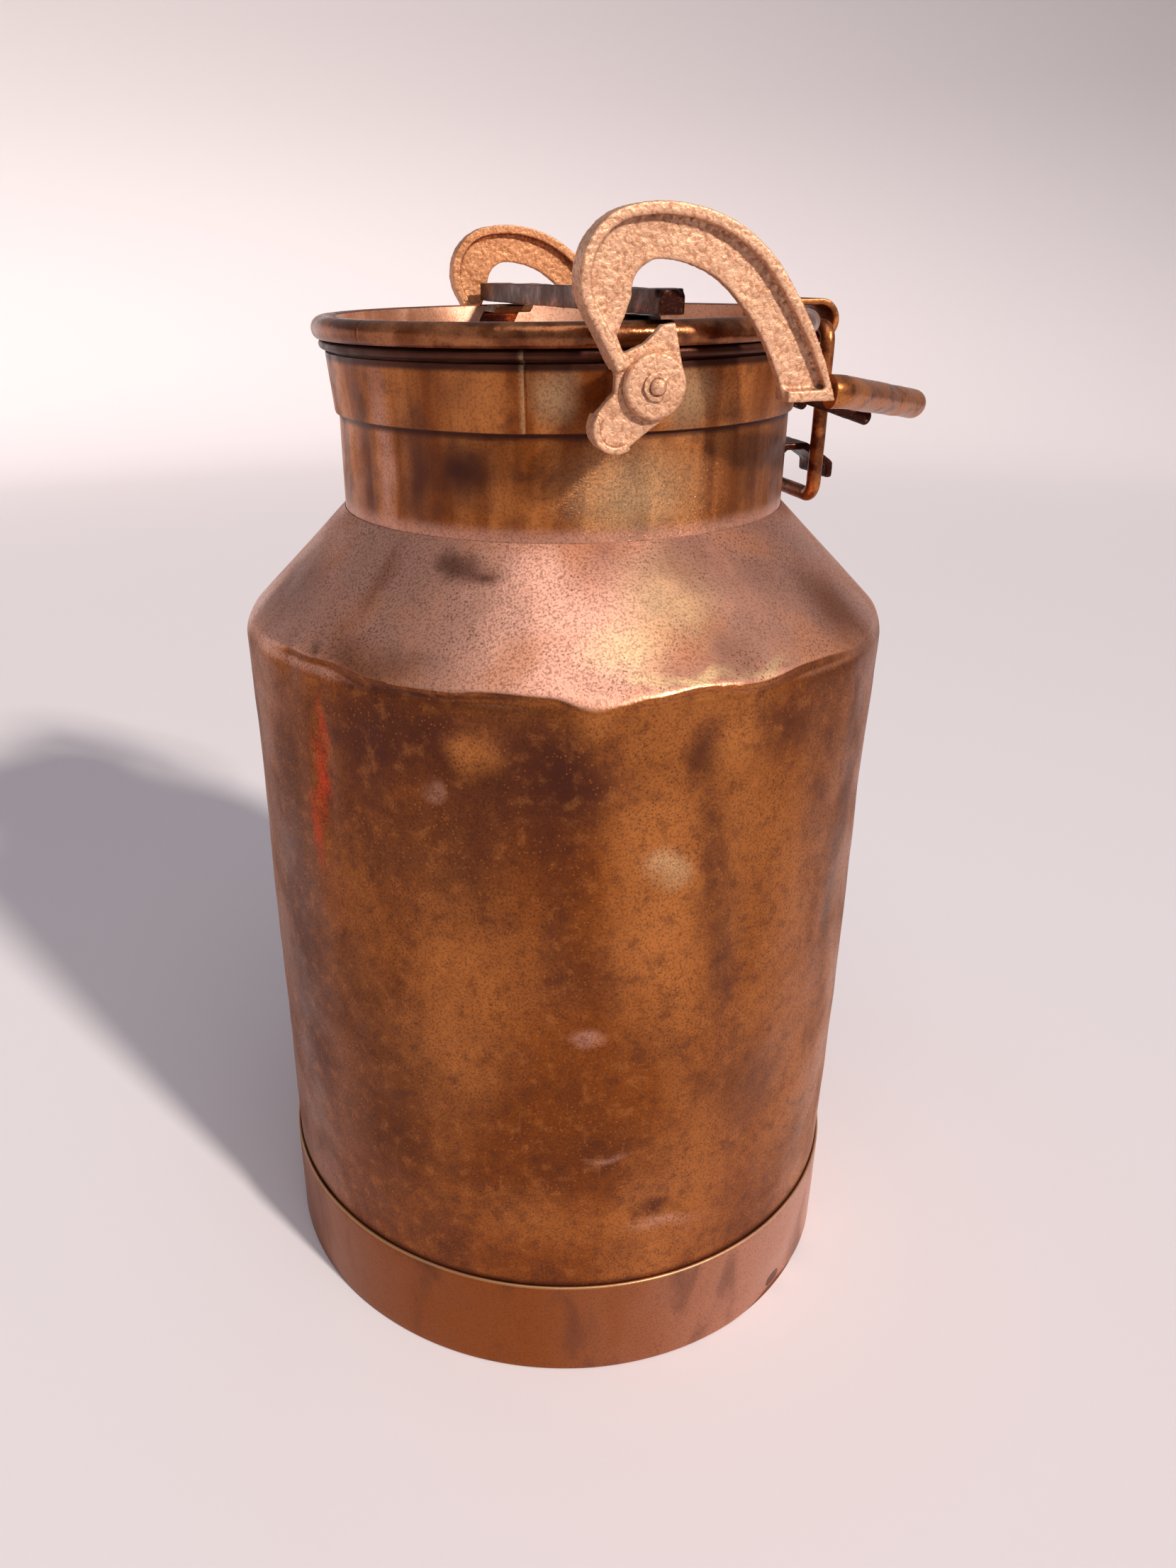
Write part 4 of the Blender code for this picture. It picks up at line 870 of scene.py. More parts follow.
def neck_copper(colours):
    """Neck and collar: drawn sheet with upright bands of painted reflection, a wrinkled crust, painted shade under the
    collar and under the rim, and painted highlights at the neck's base and along the collar's lap edge.
    """
    make = Finish("neck_copper", 0.66)
    radius = 0.0938
    flat = make.unrolled(make.warped(0.014, 0.004), radius)
    umber, brown, golden, rose, pale, painted_shade_tone = tones(colours, "umber", "brown", "golden", "rose", "pale",
                                                          "forged")
    # Upright bands: painted streaks of reflection.
    bands = make.noise(0.013, 3, stretch=(1, 1, 0.09))
    shade = make.blend(make.between(bands, 0.40, 0.66), brown, golden)
    shade = make.blend(make.between(make.noise(0.010, 4), 0.50, 0.70, 0, 0.50), shade, umber)
    shade = make.marks(shade, flat, radius, named_marks(NECK_MARKS, colours))
    height = make.split(make.place)[2]
    # Painted highlight along the neck's base, just above the shoulder.
    shade = make.blend(make.between(height, 0.3800, 0.3740, 0, 0.75), shade, rose)
    flare = COLLAR_LOW.z
    # Painted shade on the neck just under the collar's lower edge.
    under = make.maths("MULTIPLY", make.between(height, flare - 0.0034, flare - 0.0008),
                       make.between(height, flare + 0.0004, flare))
    shade = make.blend(make.maths("MULTIPLY", under, 0.9), shade, painted_shade_tone)
    # Painted shade under the lid's rim: the collar's top strip and the mouth bead above it darken.
    painted_rim_shade = make.between(height, COLLAR_HIGH.z - 0.0034, COLLAR_HIGH.z - 0.0014, 0, 0.92)
    shade = make.blend(painted_rim_shade, shade, painted_shade_tone)
    # Painted highlight along the collar's lapped edge.
    lap = math.radians(LAP_EDGE + FRONT) * radius
    straight = make.split(make.unrolled(make.place, radius))[0]
    edge = make.maths("MULTIPLY", make.between(straight, lap - 0.0022, lap - 0.0002),
                      make.between(straight, lap + 0.0003, lap))
    above = make.between(height, flare, flare + 0.0006)
    shade = make.blend(make.maths("MULTIPLY", make.maths("MULTIPLY", edge, above), 0.32), shade, pale)
    grit = make.noise(0.0009, 2)
    shade = make.blend(make.between(grit, 0.46, 0.64, 0, 0.36), shade, umber)
    crust = make.noise(0.0026, 3, stretch=(1, 1, 1.7), distortion=1.4)
    crazed = make.spot(flat, (math.radians(FRONT - 86) * radius, 0.393), (0.046, 0.026), 0.2)
    ridge = make.maths("ABSOLUTE", make.maths("SUBTRACT", crust, 0.5))
    line = make.maths("MULTIPLY", make.between(ridge, 0.030, 0.0), crazed)
    shade = make.blend(make.maths("MULTIPLY", line, 0.55), shade, umber)
    gloss = make.between(make.noise(0.012, 3), 0.35, 0.70, 0.34, 0.54)
    swollen = make.bump(make.maths("MULTIPLY", line, -1.0), 0.45, 0.0005)
    return make.wear(shade, gloss, make.bump(grit, 0.30, 0.0003, swollen))


def foot_copper(colours):
    """Hoop round the foot: brown on the left and brighter to the right, painted light from the right-hand side, with a
    painted highlight along its top edge.
    """
    make = Finish("foot_copper", 0.78)
    umber, brown, rose, pale = tones(colours, "umber", "brown", "rose", "pale")
    x, y, height = make.split(make.place)
    cloud = make.noise(0.026, 4, stretch=(1, 1, 0.5), distortion=0.4)
    # Painted light: brighter towards +X, the side the key light comes from.
    side = make.maths("ADD", x, make.maths("MULTIPLY", cloud, 0.08))
    shade = make.blend(make.between(side, -0.02, 0.17, 0, 0.75), brown, rose)
    shade = make.blend(make.between(cloud, 0.50, 0.72, 0, 0.55), shade, umber)
    grit = make.noise(0.0009, 2)
    shade = make.blend(make.between(grit, 0.46, 0.66, 0, 0.34), shade, umber)
    # Painted highlight along the top edge.
    shade = make.blend(make.between(height, FOOT_HIGH.z - 0.0012, FOOT_HIGH.z - 0.0003, 0, 0.35), shade, pale)
    gloss = make.between(cloud, 0.35, 0.70, 0.34, 0.50)
    soft = make.bump(make.noise(0.010, 2), 0.20, 0.0008)
    return make.wear(shade, gloss, make.bump(grit, 0.22, 0.0003, soft))


def plain_copper(name, colours, base, deep, bright, grain=0.0009, lump=0.016, stretch=None, gloss=(0.32, 0.52),
                 dark_share=0.5):
    """Copper of a smaller piece: two tones in clouds, dark pores and a fine grain."""
    make = Finish(name, 0.82)
    base, deep, bright = (tuple(getattr(colours, tone)) if isinstance(tone, str) else tone
                          for tone in (base, deep, bright))
    cloud = make.noise(lump, 4, stretch=stretch, distortion=0.3)
    shade = make.blend(make.between(cloud, 0.38, 0.66), base, bright)
    shade = make.blend(make.between(make.noise(lump * 0.6, 3), 0.52, 0.70, 0, dark_share), shade, deep)
    grit = make.noise(grain, 2)
    shade = make.blend(make.between(grit, 0.50, 0.66, 0, 0.35), shade, deep)
    rough = make.between(cloud, 0.35, 0.70, *gloss)
    soft = make.bump(make.noise(lump * 0.35, 2), 0.25, 0.0008)
    return make.wear(shade, rough, make.bump(grit, 0.22, 0.0003, soft))


def cast_copper(name, colours, tone):
    """Sand-cast skin: pale and matt, grained, brown in its creases and bright on its edges."""
    make = Finish(name, 0.58)
    brown, umber = tones(colours, "brown", "umber")
    cloud = make.noise(0.012, 4)
    shade = make.blend(make.between(cloud, 0.48, 0.72, 0, 0.30), tone, brown)
    grit = make.noise(0.0013, 3, distortion=0.5)
    shade = make.blend(make.between(grit, 0.52, 0.36, 0, 0.50), shade, brown)
    shape = make.tree.nodes.new("ShaderNodeNewGeometry").outputs["Pointiness"]
    shade = make.blend(make.between(shape, 0.495, 0.450, 0, 0.80), shade, umber)
    shade = make.blend(make.between(shape, 0.530, 0.590, 0, 0.60), shade, tuple(colours.pale))
    rough = make.between(grit, 0.35, 0.65, 0.62, 0.48)
    return make.wear(shade, rough, make.bump(grit, 0.55, 0.0005))


def forged_dark(colours):
    """Black-brown forged bar and straps with a few rubbed places."""
    make = Finish("forged_dark", 0.88)
    rubbed = make.noise(0.010, 4, distortion=0.5)
    shade = make.blend(make.between(rubbed, 0.58, 0.74, 0, 0.55), tuple(colours.forged), tuple(colours.brown))
    grit = make.noise(0.0011, 2)
    shade = make.blend(make.between(grit, 0.58, 0.72, 0, 0.20), shade, FORGED_SPECKS)
    shape = make.tree.nodes.new("ShaderNodeNewGeometry").outputs["Pointiness"]
    shade = make.blend(make.between(shape, 0.530, 0.580, 0, 0.45), shade, FORGED_EDGES)
    rough = make.between(rubbed, 0.40, 0.70, 0.46, 0.30)
    return make.wear(shade, rough, make.bump(grit, 0.35, 0.0003))


def old_rubber(colours):
    """Perished black rubber."""
    make = Finish("old_rubber", 0.0)
    dust = make.noise(0.003, 3)
    shade = make.blend(make.between(dust, 0.45, 0.75, 0, 0.5), tuple(colours.rubber), RUBBER_DUST)
    return make.wear(shade, make.between(dust, 0.3, 0.7, 0.65, 0.9), make.bump(dust, 0.3, 0.0003))


def shared(name, maker):
    """A material that several operators use, made once."""
    return bpy.data.materials.get(name) or maker()


# Can

def wave(x, y, z, size):
    return noise.noise(Vector((x, y, z)) / size)


def wall_shift(sizes):
    """Function of angle and height that gives how far the sheet stands out or in."""
    radius = sizes.barrel_radius

    def shift(angle, height):
        crease = along(CREASE, angle)
        drop = crease - height
        pushed = smooth(drop, *CREASE_STEP) * (1 - smooth(drop, *CREASE_FADE))
        moved = -sizes.crest_dent * along(CREASE_DEPTH, angle) * pushed
        for where, at, wide, high, depth in DENTS:
            turn = (angle - where + 180) % 360 - 180
            across = math.radians(turn) * radius / wide
            up = (height - at) / high
            apart = across * across + up * up
            if apart < 9:
                moved -= depth * math.exp(-apart)
        x, y = polar(radius, math.radians(angle))
        moved += sizes.sheet_wave * (wave(x, y, height * 0.7, 0.055) + 0.30 * wave(x, y, height, 0.016))
        still = smooth(height, *STILL_FOOT) * (1 - smooth(height, *STILL_NECK))
        return min(MOST_OUT, moved) * still

    return shift


def dented(name, outer, thickness, shift, top=None):
    """Sheet from an outer line, with both its faces shifted alike."""
    inner = offset_line(outer, thickness)
    if top:
        inner[0] = top
    rows = [(r, z, z) for r, z in outer] + [(r, z, outer[i][1]) for i, (r, z) in list(enumerate(inner))[::-1]]
    angles = whole_turn(BODY_COLUMNS)
    vertices, faces = [], []
    shifts = {z: [shift(math.degrees(angle), z) for angle in angles] for _, z in outer}
    for radius, height, source in rows:
        for angle, moved in zip(angles, shifts[source]):
            vertices.append(((radius + moved) * math.cos(angle), (radius + moved) * math.sin(angle), height))
    for i in range(len(rows)):
        k = (i + 1) % len(rows)
        for j in range(BODY_COLUMNS):
            m = (j + 1) % BODY_COLUMNS
            faces.append((i * BODY_COLUMNS + j, i * BODY_COLUMNS + m, k * BODY_COLUMNS + m, k * BODY_COLUMNS + j))
    return mesh_from(name, vertices, faces)


def add_body(sizes, colours):
    """Barrel and shoulder, dented together across their weld."""
    copper = shared("body_copper", lambda: body_copper(colours))
    shift = wall_shift(sizes)
    radius = sizes.barrel_radius
    seam = BARREL_HIGH.z + GAP / 2
    outer = fine([(radius, seam), (radius, seam - 0.09)], 0.0020)
    outer += fine([(radius, seam - 0.09), (radius, BARREL_LOW.z)], 0.0034)[1:]
    add_piece("can_barrel", dented("can_barrel", outer, SHEET, shift), "can", ["barrel"], copper)
    bend = BARREL_HIGH.z + GAP + SKIRT
    top_radius = sizes.neck_radius + GAP
    base = NECK_LOW.z + NECK_LAP
    curve = arc((radius - BEND_RADIUS, bend), BEND_RADIUS, math.pi / 2 - SLOPE, 0, 12)
    outer = fine([(top_radius, base), curve[0]], 0.0022) + curve[1:]
    outer += fine([(radius, bend), (radius, seam)], 0.0011)[1:]
    top = (top_radius, base - SHEET / math.cos(SLOPE))
    data = dented("can_shoulder", outer, SHEET, shift, top)
    add_piece("can_shoulder", data, "can", ["shoulder"], copper)


def foot_shift(angle, height):
    """Small waves and one knock in the foot hoop, always inwards."""
    x, y = polar(0.14, math.radians(angle))
    moved = -0.00035 * (0.5 + 0.5 * wave(x, y, height, 0.03))
    for where, at, wide, high, depth in FOOT_KNOCKS:
        turn = (angle - where + 180) % 360 - 180
        apart = (math.radians(turn) * 0.14 / wide) ** 2 + ((height - at) / high) ** 2
        moved -= depth * math.exp(-apart) if apart < 9 else 0
    return moved


def add_foot(sizes, colours):
    """Hoop round the bottom and the dished bottom plate."""
    outside = FOOT_HIGH.x
    inside = sizes.barrel_radius + GAP
    flange = outside - FLANGE_WIDTH
    top = FOOT_HIGH.z
    edge = FOOT_THICKNESS / 2
    profile = arc((outside - edge, top - edge), edge, math.pi, 0, 8)
    profile += fine([(outside, top - edge), (outside, FOOT_ROUNDING)], 0.003)[1:]
    profile += arc((outside - FOOT_ROUNDING, FOOT_ROUNDING), FOOT_ROUNDING, 0, -math.pi / 2, 6)[1:]
    profile += [(flange, 0), (flange, FLANGE_THICKNESS), (inside, FLANGE_THICKNESS)]
    hoop = turned("foot_ring", profile, BODY_COLUMNS, lambda a, z: foot_shift(a, z) if z > 0.0001 else 0)
    finish = foot_copper(colours)
    add_piece("foot_ring", hoop, "can", ["foot_hoop"], finish)
    plate_low, plate_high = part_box("bottom_plate")
    bend = (plate_high.x - BOTTOM_BEND, plate_high.z - BOTTOM_BEND)
    outer = [(0, plate_high.z)] + arc(bend, BOTTOM_BEND, math.pi / 2, 0) + [(plate_high.x, plate_low.z)]
    plate = turned("bottom_dish", outer + offset_line(outer, SHEET)[::-1])
    add_piece("bottom_dish", plate, "can", ["bottom_plate"], finish)


def neck_outside(sizes, height):
    """Outer radius of the neck's wall at a height."""
    flare = COLLAR_LOW.z
    mouth = NECK_HIGH.z - BEAD_RADIUS
    reach = sizes.neck_radius + FLARE_OUT - BEAD_RADIUS
    return sizes.neck_radius + (reach - sizes.neck_radius) / (mouth - flare) * max(0, height - flare)


def collar_outside(sizes, height):
    return neck_outside(sizes, height) + GAP + COLLAR_THICKNESS


def lap_shift(angle, height):
    """The collar's left end lies on its right one and stops at a sharp edge."""
    if angle < LAP_EDGE:
        return LAP_PROUD * smooth(angle, LAP_EDGE - LAP_WIDTH - LAP_RISE, LAP_EDGE - LAP_WIDTH)
    return -GAP * (1 - smooth(angle, LAP_EDGE + LAP_LINE, LAP_EDGE + 2.2 * LAP_LINE)) if angle < -105 else 0


def add_neck(sizes, colours):
    """Neck with its rolled mouth, and the lapped collar round its flare."""
    copper = shared("neck_copper", lambda: neck_copper(colours))
    mouth = NECK_HIGH.z - BEAD_RADIUS
    bead = (sizes.neck_radius + FLARE_OUT, mouth)
    flare = COLLAR_LOW.z
    open_side = math.radians(135)
    inner = bead[0] - BEAD_RADIUS - SHEET
    bead_base = mouth - BEAD_RADIUS
    profile = arc(bead, BEAD_RADIUS, open_side, -open_side)
    profile.append((neck_outside(sizes, bead_base), bead_base))
    profile += fine([(sizes.neck_radius, flare), (sizes.neck_radius, NECK_LOW.z)], 0.002)
    profile += [(sizes.neck_radius - SHEET, NECK_LOW.z), (sizes.neck_radius - SHEET, flare), (inner, mouth)]

    def shift(angle, height):
        x, y = polar(0.09, math.radians(angle))
        slow = 0.00018 * wave(x, y, height * 0.5, 0.02)
        still = smooth(height, NECK_LOW.z + 0.006, NECK_LOW.z + 0.010) * (1 - smooth(height, flare, mouth))
        return min(0, slow) * still

    neck = turned("can_neck", profile, BODY_COLUMNS, shift)
    add_piece("can_neck", neck, "can", ["neck"], copper)
    top = COLLAR_HIGH.z
    edge = COLLAR_THICKNESS / 2
    line = [(collar_outside(sizes, top) - GAP / 2, top), (collar_outside(sizes, top - edge), top - edge)]
    line += fine([line[-1], (collar_outside(sizes, flare + edge), flare + edge)], 0.003)[1:]
    line.append((collar_outside(sizes, flare) - GAP / 2, flare))
    profile = line + [(r - COLLAR_THICKNESS + GAP / 4, z) for r, z in line[::-1]]
    angles = sorted(whole_turn(TURNED_COLUMNS) + [math.radians(LAP_EDGE + step) for step in
                                                  (-0.30, -0.01, 0.01, LAP_LINE, 2.2 * LAP_LINE)])
    collar = turned("lapped_collar", profile, shift=lap_shift, angles=angles)
    add_piece("lapped_collar", collar, "can", ["collar_band"], copper)


def neck_cutter(sizes):
    """Solid of the neck that seats cut pieces against it."""
    profile = [(0, NECK_LOW.z - 0.01), (sizes.neck_radius, NECK_LOW.z - 0.01), (sizes.neck_radius, COLLAR_LOW.z - GAP),
               (collar_outside(sizes, COLLAR_LOW.z), COLLAR_LOW.z - GAP),
               (collar_outside(sizes, COLLAR_HIGH.z), COLLAR_HIGH.z), (0, COLLAR_HIGH.z)]
    return turned("neck_cutter", profile, TURNED_COLUMNS)


def add_hook(sizes, colours):
    """Hooked strap on the neck, over the link's bottom run."""
    low = LINK_TOP.z - LINK_HEIGHT
    top = low + HOOK_ABOVE_LINK
    nose = LINK_TOP.x + HOOK_REACH
    root = sizes.neck_radius * 0.8
    bend = LINK_TOP.x - HOOK_SHOULDER_SHARE * HOOK_REACH
    outer = [(root, top), (bend, top), (nose - HOOK_THICKNESS / 2, top - HOOK_SLOPE_DROP),
             (nose, top - HOOK_SLOPE_DROP - HOOK_THICKNESS / 2), (nose, top - HOOK_SLOPE_DROP - HOOK_NOSE_DROP)]
    plate = strap("hook_strap", outer, HOOK_THICKNESS, HOOK_WIDTH)
    brace_top = top - HOOK_THICKNESS / 2
    brace = [(root, brace_top), (sizes.neck_radius + HOOK_BRACE_DROP, brace_top),
             (sizes.neck_radius, brace_top - HOOK_BRACE_DROP), (root, brace_top - HOOK_BRACE_DROP)]
    gusset = prism("hook_brace", brace, -HOOK_WIDTH / 3, HOOK_WIDTH / 3)
    data = forged("link_hook", plate, ((gusset, "UNION"), (neck_cutter(sizes), "DIFFERENCE")), 0.0006, 3)
    roughen(data, ((sizes.forge_grain, 0.004), (sizes.forge_grain / 2, 0.0015)))
    dark = shared("forged_dark", lambda: forged_dark(colours))
    add_piece("link_hook", data, "can", ["hinge_hook"], dark)


def add_rests(sizes, colours):
    """Pegs on the collar, sloping down, that the lowered grip lies on."""
    dark = shared("forged_dark", lambda: forged_dark(colours))
    apart = sizes.grip_radius + GAP + REST_RADIUS
    grip = Vector((sizes.neck_radius + FLARE_OUT + GRIP_STANDOFF, 0, PIVOT_HEIGHT - GRIP_DROP))
    under = grip - Vector((apart * math.sin(REST_FALL), 0, apart * math.cos(REST_FALL)))
    fall = Vector((1, 0, -math.tan(REST_FALL)))
    for side, sign in SIDES.items():
        place = under + Vector((0, sign * REST_SPACING, 0))
        start = place + fall * (sizes.neck_radius * 0.8 - under.x)
        end = place + fall * (grip.x - REST_SHORT - under.x)
        peg = round_bar("rest", REST_RADIUS, start, end, REST_RADIUS / 2)
        data = forged(f"rest_peg_{side}", peg, ((neck_cutter(sizes), "DIFFERENCE"),), 0.00045, 2)
        roughen(data, ((sizes.forge_grain, 0.003),), (0, sign, 0))
        add_piece(f"rest_peg_{side}", data, "can", [f"grip_rest_{side}"], dark)


def cast_finish(side, colours):
    """Skin of one side's castings; the far ones are more orange, a copy that paints the other light on the far lever.
    """
    tone = tuple(colours.cast) if side == "near" else FAR_CAST
    return shared(f"cast_copper_{side}", lambda: cast_copper(f"cast_copper_{side}", colours, tone))


def add_pivots(sizes, colours):
    """Bosses, pivot rivets and bevelled washers on both sides."""
    low, middle, high = SEAT_HEIGHTS
    clear = sizes.neck_radius + FLARE_OUT + BEAD_RADIUS + GAP
    for side, sign in SIDES.items():
        cast = cast_finish(side, colours)
        reach = sizes.neck_radius + FLARE_OUT + TRUNNION_STANDOFF
        boss = round_bar("boss", TRUNNION_RADIUS, (0, sign * sizes.neck_radius, PIVOT_HEIGHT),
                         (0, sign * reach, PIVOT_HEIGHT), WASHER_BEVEL)
        seat = turned("seat", [
            (0, low), (collar_outside(sizes, low), low), (collar_outside(sizes, middle), middle), (clear, middle),
            (clear, high), (0, high)], BODY_COLUMNS)
        bore = round_bar("bore", SHANK_RADIUS + BORE_CLEARANCE, (0, 0, PIVOT_HEIGHT),
                         (0, sign * (reach + 0.004), PIVOT_HEIGHT))
        data = forged(f"pivot_boss_{side}", boss, ((seat, "DIFFERENCE"), (bore, "DIFFERENCE")))
        add_piece(f"pivot_boss_{side}", data, "can", [f"trunnion_{side}"], cast)
        web = reach + GAP + LEVER_DEPTH - WEB_SET_BACK
        start = collar_outside(sizes, PIVOT_HEIGHT + SHANK_RADIUS) + 2 * GAP
        base = web + WASHER_THICKNESS + 2 * GAP - start
        profile = [(0, 0), (SHANK_RADIUS, 0), (SHANK_RADIUS, base), (PIN_HEAD - PIN_PLATE / 4, base)]
        profile += arc((PIN_HEAD - PIN_PLATE / 2, base + PIN_PLATE / 2), PIN_PLATE / 2, 0, math.pi / 2, 4)
        profile += fine([(PIN_HEAD - PIN_PLATE / 2, base + PIN_PLATE), (PIN_NUB, base + PIN_PLATE * 1.1)], 0.0004)[1:]
        top = PIN_RISE - PIN_PLATE * 1.1
        profile += [(PIN_NUB * math.cos(a) ** 0.6, base + PIN_PLATE * 1.1 + top * math.sin(a) ** 0.8)
                    for a in (0.25, 0.5, 0.75, 1.0, 1.25, 1.45)]
        profile.append((0, base + PIN_RISE))
        data = turned(f"pivot_rivet_{side}", profile, 96)
        roughen(data, ((0.0004, 0.0016),), (sign, 0, 0))
        aim(data, (0, sign * start, PIVOT_HEIGHT), (0, sign, 0))
        add_piece(f"pivot_rivet_{side}", data, "can", [f"pivot_pin_{side}"], cast)
        inner = SHANK_RADIUS + BORE_CLEARANCE
        face = WASHER_THICKNESS
        profile = [(inner, 0), (WASHER_RADIUS, 0)]
        profile += arc((WASHER_RADIUS - WASHER_SOFT, face - WASHER_SOFT), WASHER_SOFT, 0, math.pi / 2, 8)
        profile += fine([(WASHER_RADIUS - WASHER_SOFT, face), (inner, face)], 0.0007)[1:]
        data = turned("washer", profile, 120)
        aim(data, (0, sign * (web + GAP), PIVOT_HEIGHT), (0, sign, 0))
        roughen(data, ((0.0003, 0.0020),), (0, 0, sign))
        add_piece(f"bevel_washer_{side}", data, "can", [f"washer_{side}"], cast)


# Levers and handle

def tangent_arc(radius, end_angle, point, steps=ARC_STEPS):
    """Arc from a point to a circle about the pivot, tangent to it at end_angle."""
    point = Vector(point)
    outward = Vector(polar(1, end_angle))
    shift = (radius ** 2 - point.length_squared) / (2 * (radius - point.dot(outward)))
    centre = outward * shift
    start = math.atan2(point.y - centre.y, point.x - centre.x)
    return arc(centre, radius - shift, start, end_angle, steps)


def arm_outside(inset=0):
    """Outer edge of a lever from its foot round the heel, or a line inside it."""
    foot = (FOOT_OUTER_REACH - inset, inset - FOOT_DROP)
    line = [(FOOT_INNER_REACH, foot[1])]
    line += tangent_arc(ARM_OUTER - inset, ARM_OUTER_END, foot)
    line += arc((0, 0), ARM_OUTER - inset, ARM_OUTER_END, HEEL_START)[1:]
    heel = polar(ARM_OUTER - HEEL_RADIUS, HEEL_START)
    line += arc(heel, HEEL_RADIUS - inset, HEEL_START, HEEL_END)[1:]
    shift = polar(inset, HEEL_END)
    line.append((WAIST[0][0] - shift[0], WAIST[0][1] - shift[1]))
    return line


def tail_lean():
    return math.acos((HUB_RADIUS - TAIL_RADIUS) / TAIL_DISTANCE)


def tail_outside(inset=0):
    """Edge of the tail lobe from the waist round to the hub, or a line inside it."""
    return arc(polar(TAIL_DISTANCE, TAIL_ANGLE), TAIL_RADIUS - inset, TAIL_ANGLE - tail_lean(),
               TAIL_ANGLE + tail_lean())


def lever_outline():
    """Whole outline of a lever in (x, z) about its pivot."""
    line = arm_outside()[1:]
    line.append(WAIST[1])
    line += tail_outside()
    hub_end = THUMB_ANGLE - math.acos(HUB_RADIUS / THUMB_DISTANCE)
    line += arc((0, 0), HUB_RADIUS, TAIL_ANGLE + tail_lean() - math.tau, hub_end)
    line.append(polar(THUMB_DISTANCE, THUMB_ANGLE))
    for distance_share, turn_share in THUMB_BACK_SHARES:
        distance = THUMB_DISTANCE + (NOTCH[0] - THUMB_DISTANCE) * distance_share
        line.append(polar(distance, THUMB_ANGLE + (NOTCH[1] - THUMB_ANGLE) * turn_share))
    line += [polar(*NOTCH), polar(*NECKING)]
    throat = polar(ARM_INNER - THROAT_RADIUS, ARM_INNER_START)
    line += arc(throat, THROAT_RADIUS, THROAT_END, ARM_INNER_START)
    line += arc((0, 0), ARM_INNER, ARM_INNER_START, ARM_INNER_END)[1:]
    line += tangent_arc(ARM_INNER, ARM_INNER_END, (FOOT_INNER_REACH, -FOOT_DROP))[::-1][1:]
    return line


def rib_outline(edge, width):
    """Closed strip of a rib that follows an edge of the lever."""
    return edge(-RIB_PROUD) + edge(width)[::-1]


def add_levers(sizes, colours):
    """Cast C-shaped levers with a rib round the outside and a lobed tail."""
    face = sizes.neck_radius + FLARE_OUT + TRUNNION_STANDOFF + GAP
    outer_face = face + LEVER_DEPTH
    web_face = outer_face - WEB_SET_BACK
    for side, sign in SIDES.items():
        web = prism("web", lever_outline(), web_face - WEB_THICKNESS, web_face)
        rib = prism("rib", rib_outline(arm_outside, RIB_WIDTH), face, outer_face)
        tail = prism("tail", rib_outline(tail_outside, TAIL_RIB), face, web_face + TAIL_RIB)
        hub = round_bar("hub", HUB_RADIUS - RIB_PROUD, (0, face, 0), (0, web_face - WEB_THICKNESS / 2, 0))
        bore = round_bar("bore", SHANK_RADIUS + BORE_CLEARANCE, (0, 0, 0), (0, outer_face + 0.004, 0))
        data = forged(f"cam_lever_{side}", web, ((rib, "UNION"), (tail, "UNION"), (hub, "UNION"),
                                                 (bore, "DIFFERENCE")), 0.0005, 3)
        data.transform(Matrix.Translation((0, 0, PIVOT_HEIGHT)) @ Matrix.Scale(sign, 4, (0, 1, 0)))
        if sign < 0:
            data.flip_normals()
        roughen(data, ((sizes.cast_grain, 0.0022), (sizes.cast_grain, 0.0060)), (0, sign, 0), creased=True)
        add_piece(f"cam_lever_{side}", data, "handle", [f"lever_{side}"], cast_finish(side, colours))


def add_bail(sizes, colours):
    """Round rod from lever to lever, drawn in to a grip behind the neck."""
    face = sizes.neck_radius + FLARE_OUT + TRUNNION_STANDOFF + GAP
    across = face + LEVER_DEPTH / 2
    start = FOOT_OUTER_REACH + RIB_PROUD
    height = PIVOT_HEIGHT - GRIP_ARM_DROP
    reach = sizes.neck_radius + FLARE_OUT + GRIP_STANDOFF
    half = [(start, across, height), (start + GRIP_ARM_START, across, height),
            (reach, GRIP_HALF_WIDTH, PIVOT_HEIGHT - GRIP_DROP)]
    corners = half + [(x, -y, z) for x, y, z in half[::-1]]
    data = tube("bail_rod", rounded_path(corners, GRIP_BEND), sizes.grip_radius)
    roughen(data, ((0.0004, 0.014), (0.0002, 0.005)))
    finish = plain_copper("grip_copper", colours, GRIP_COPPER, "umber", "golden", lump=0.012,
                          gloss=(0.26, 0.42), dark_share=0.7)
    add_piece("bail_rod", data, "handle", ["grip_bail"], finish)


def add_link(sizes, colours):
    """Wire loop between the hook on the neck and the lid's rolled strap."""
    half = EYE_WIDTH / 2 + LINK_BEND + GAP
    low = LINK_TOP.z - LINK_HEIGHT
    corners = [(LINK_TOP.x, -half, LINK_TOP.z), (LINK_TOP.x, half, LINK_TOP.z), (LINK_TOP.x, half, low),
               (LINK_TOP.x, -half, low)]
    data = tube("link_loop", rounded_path(corners, LINK_BEND, closed=True), sizes.link_wire, closed=True)
    roughen(data, ((0.0002, 0.008),))
    finish = plain_copper("link_copper", colours, LINK_COPPER, "umber", "golden", lump=0.008,
                          gloss=(0.30, 0.48), dark_share=0.8)
    add_piece("link_loop", data, "link", ["hinge_link"], finish)


# Lid

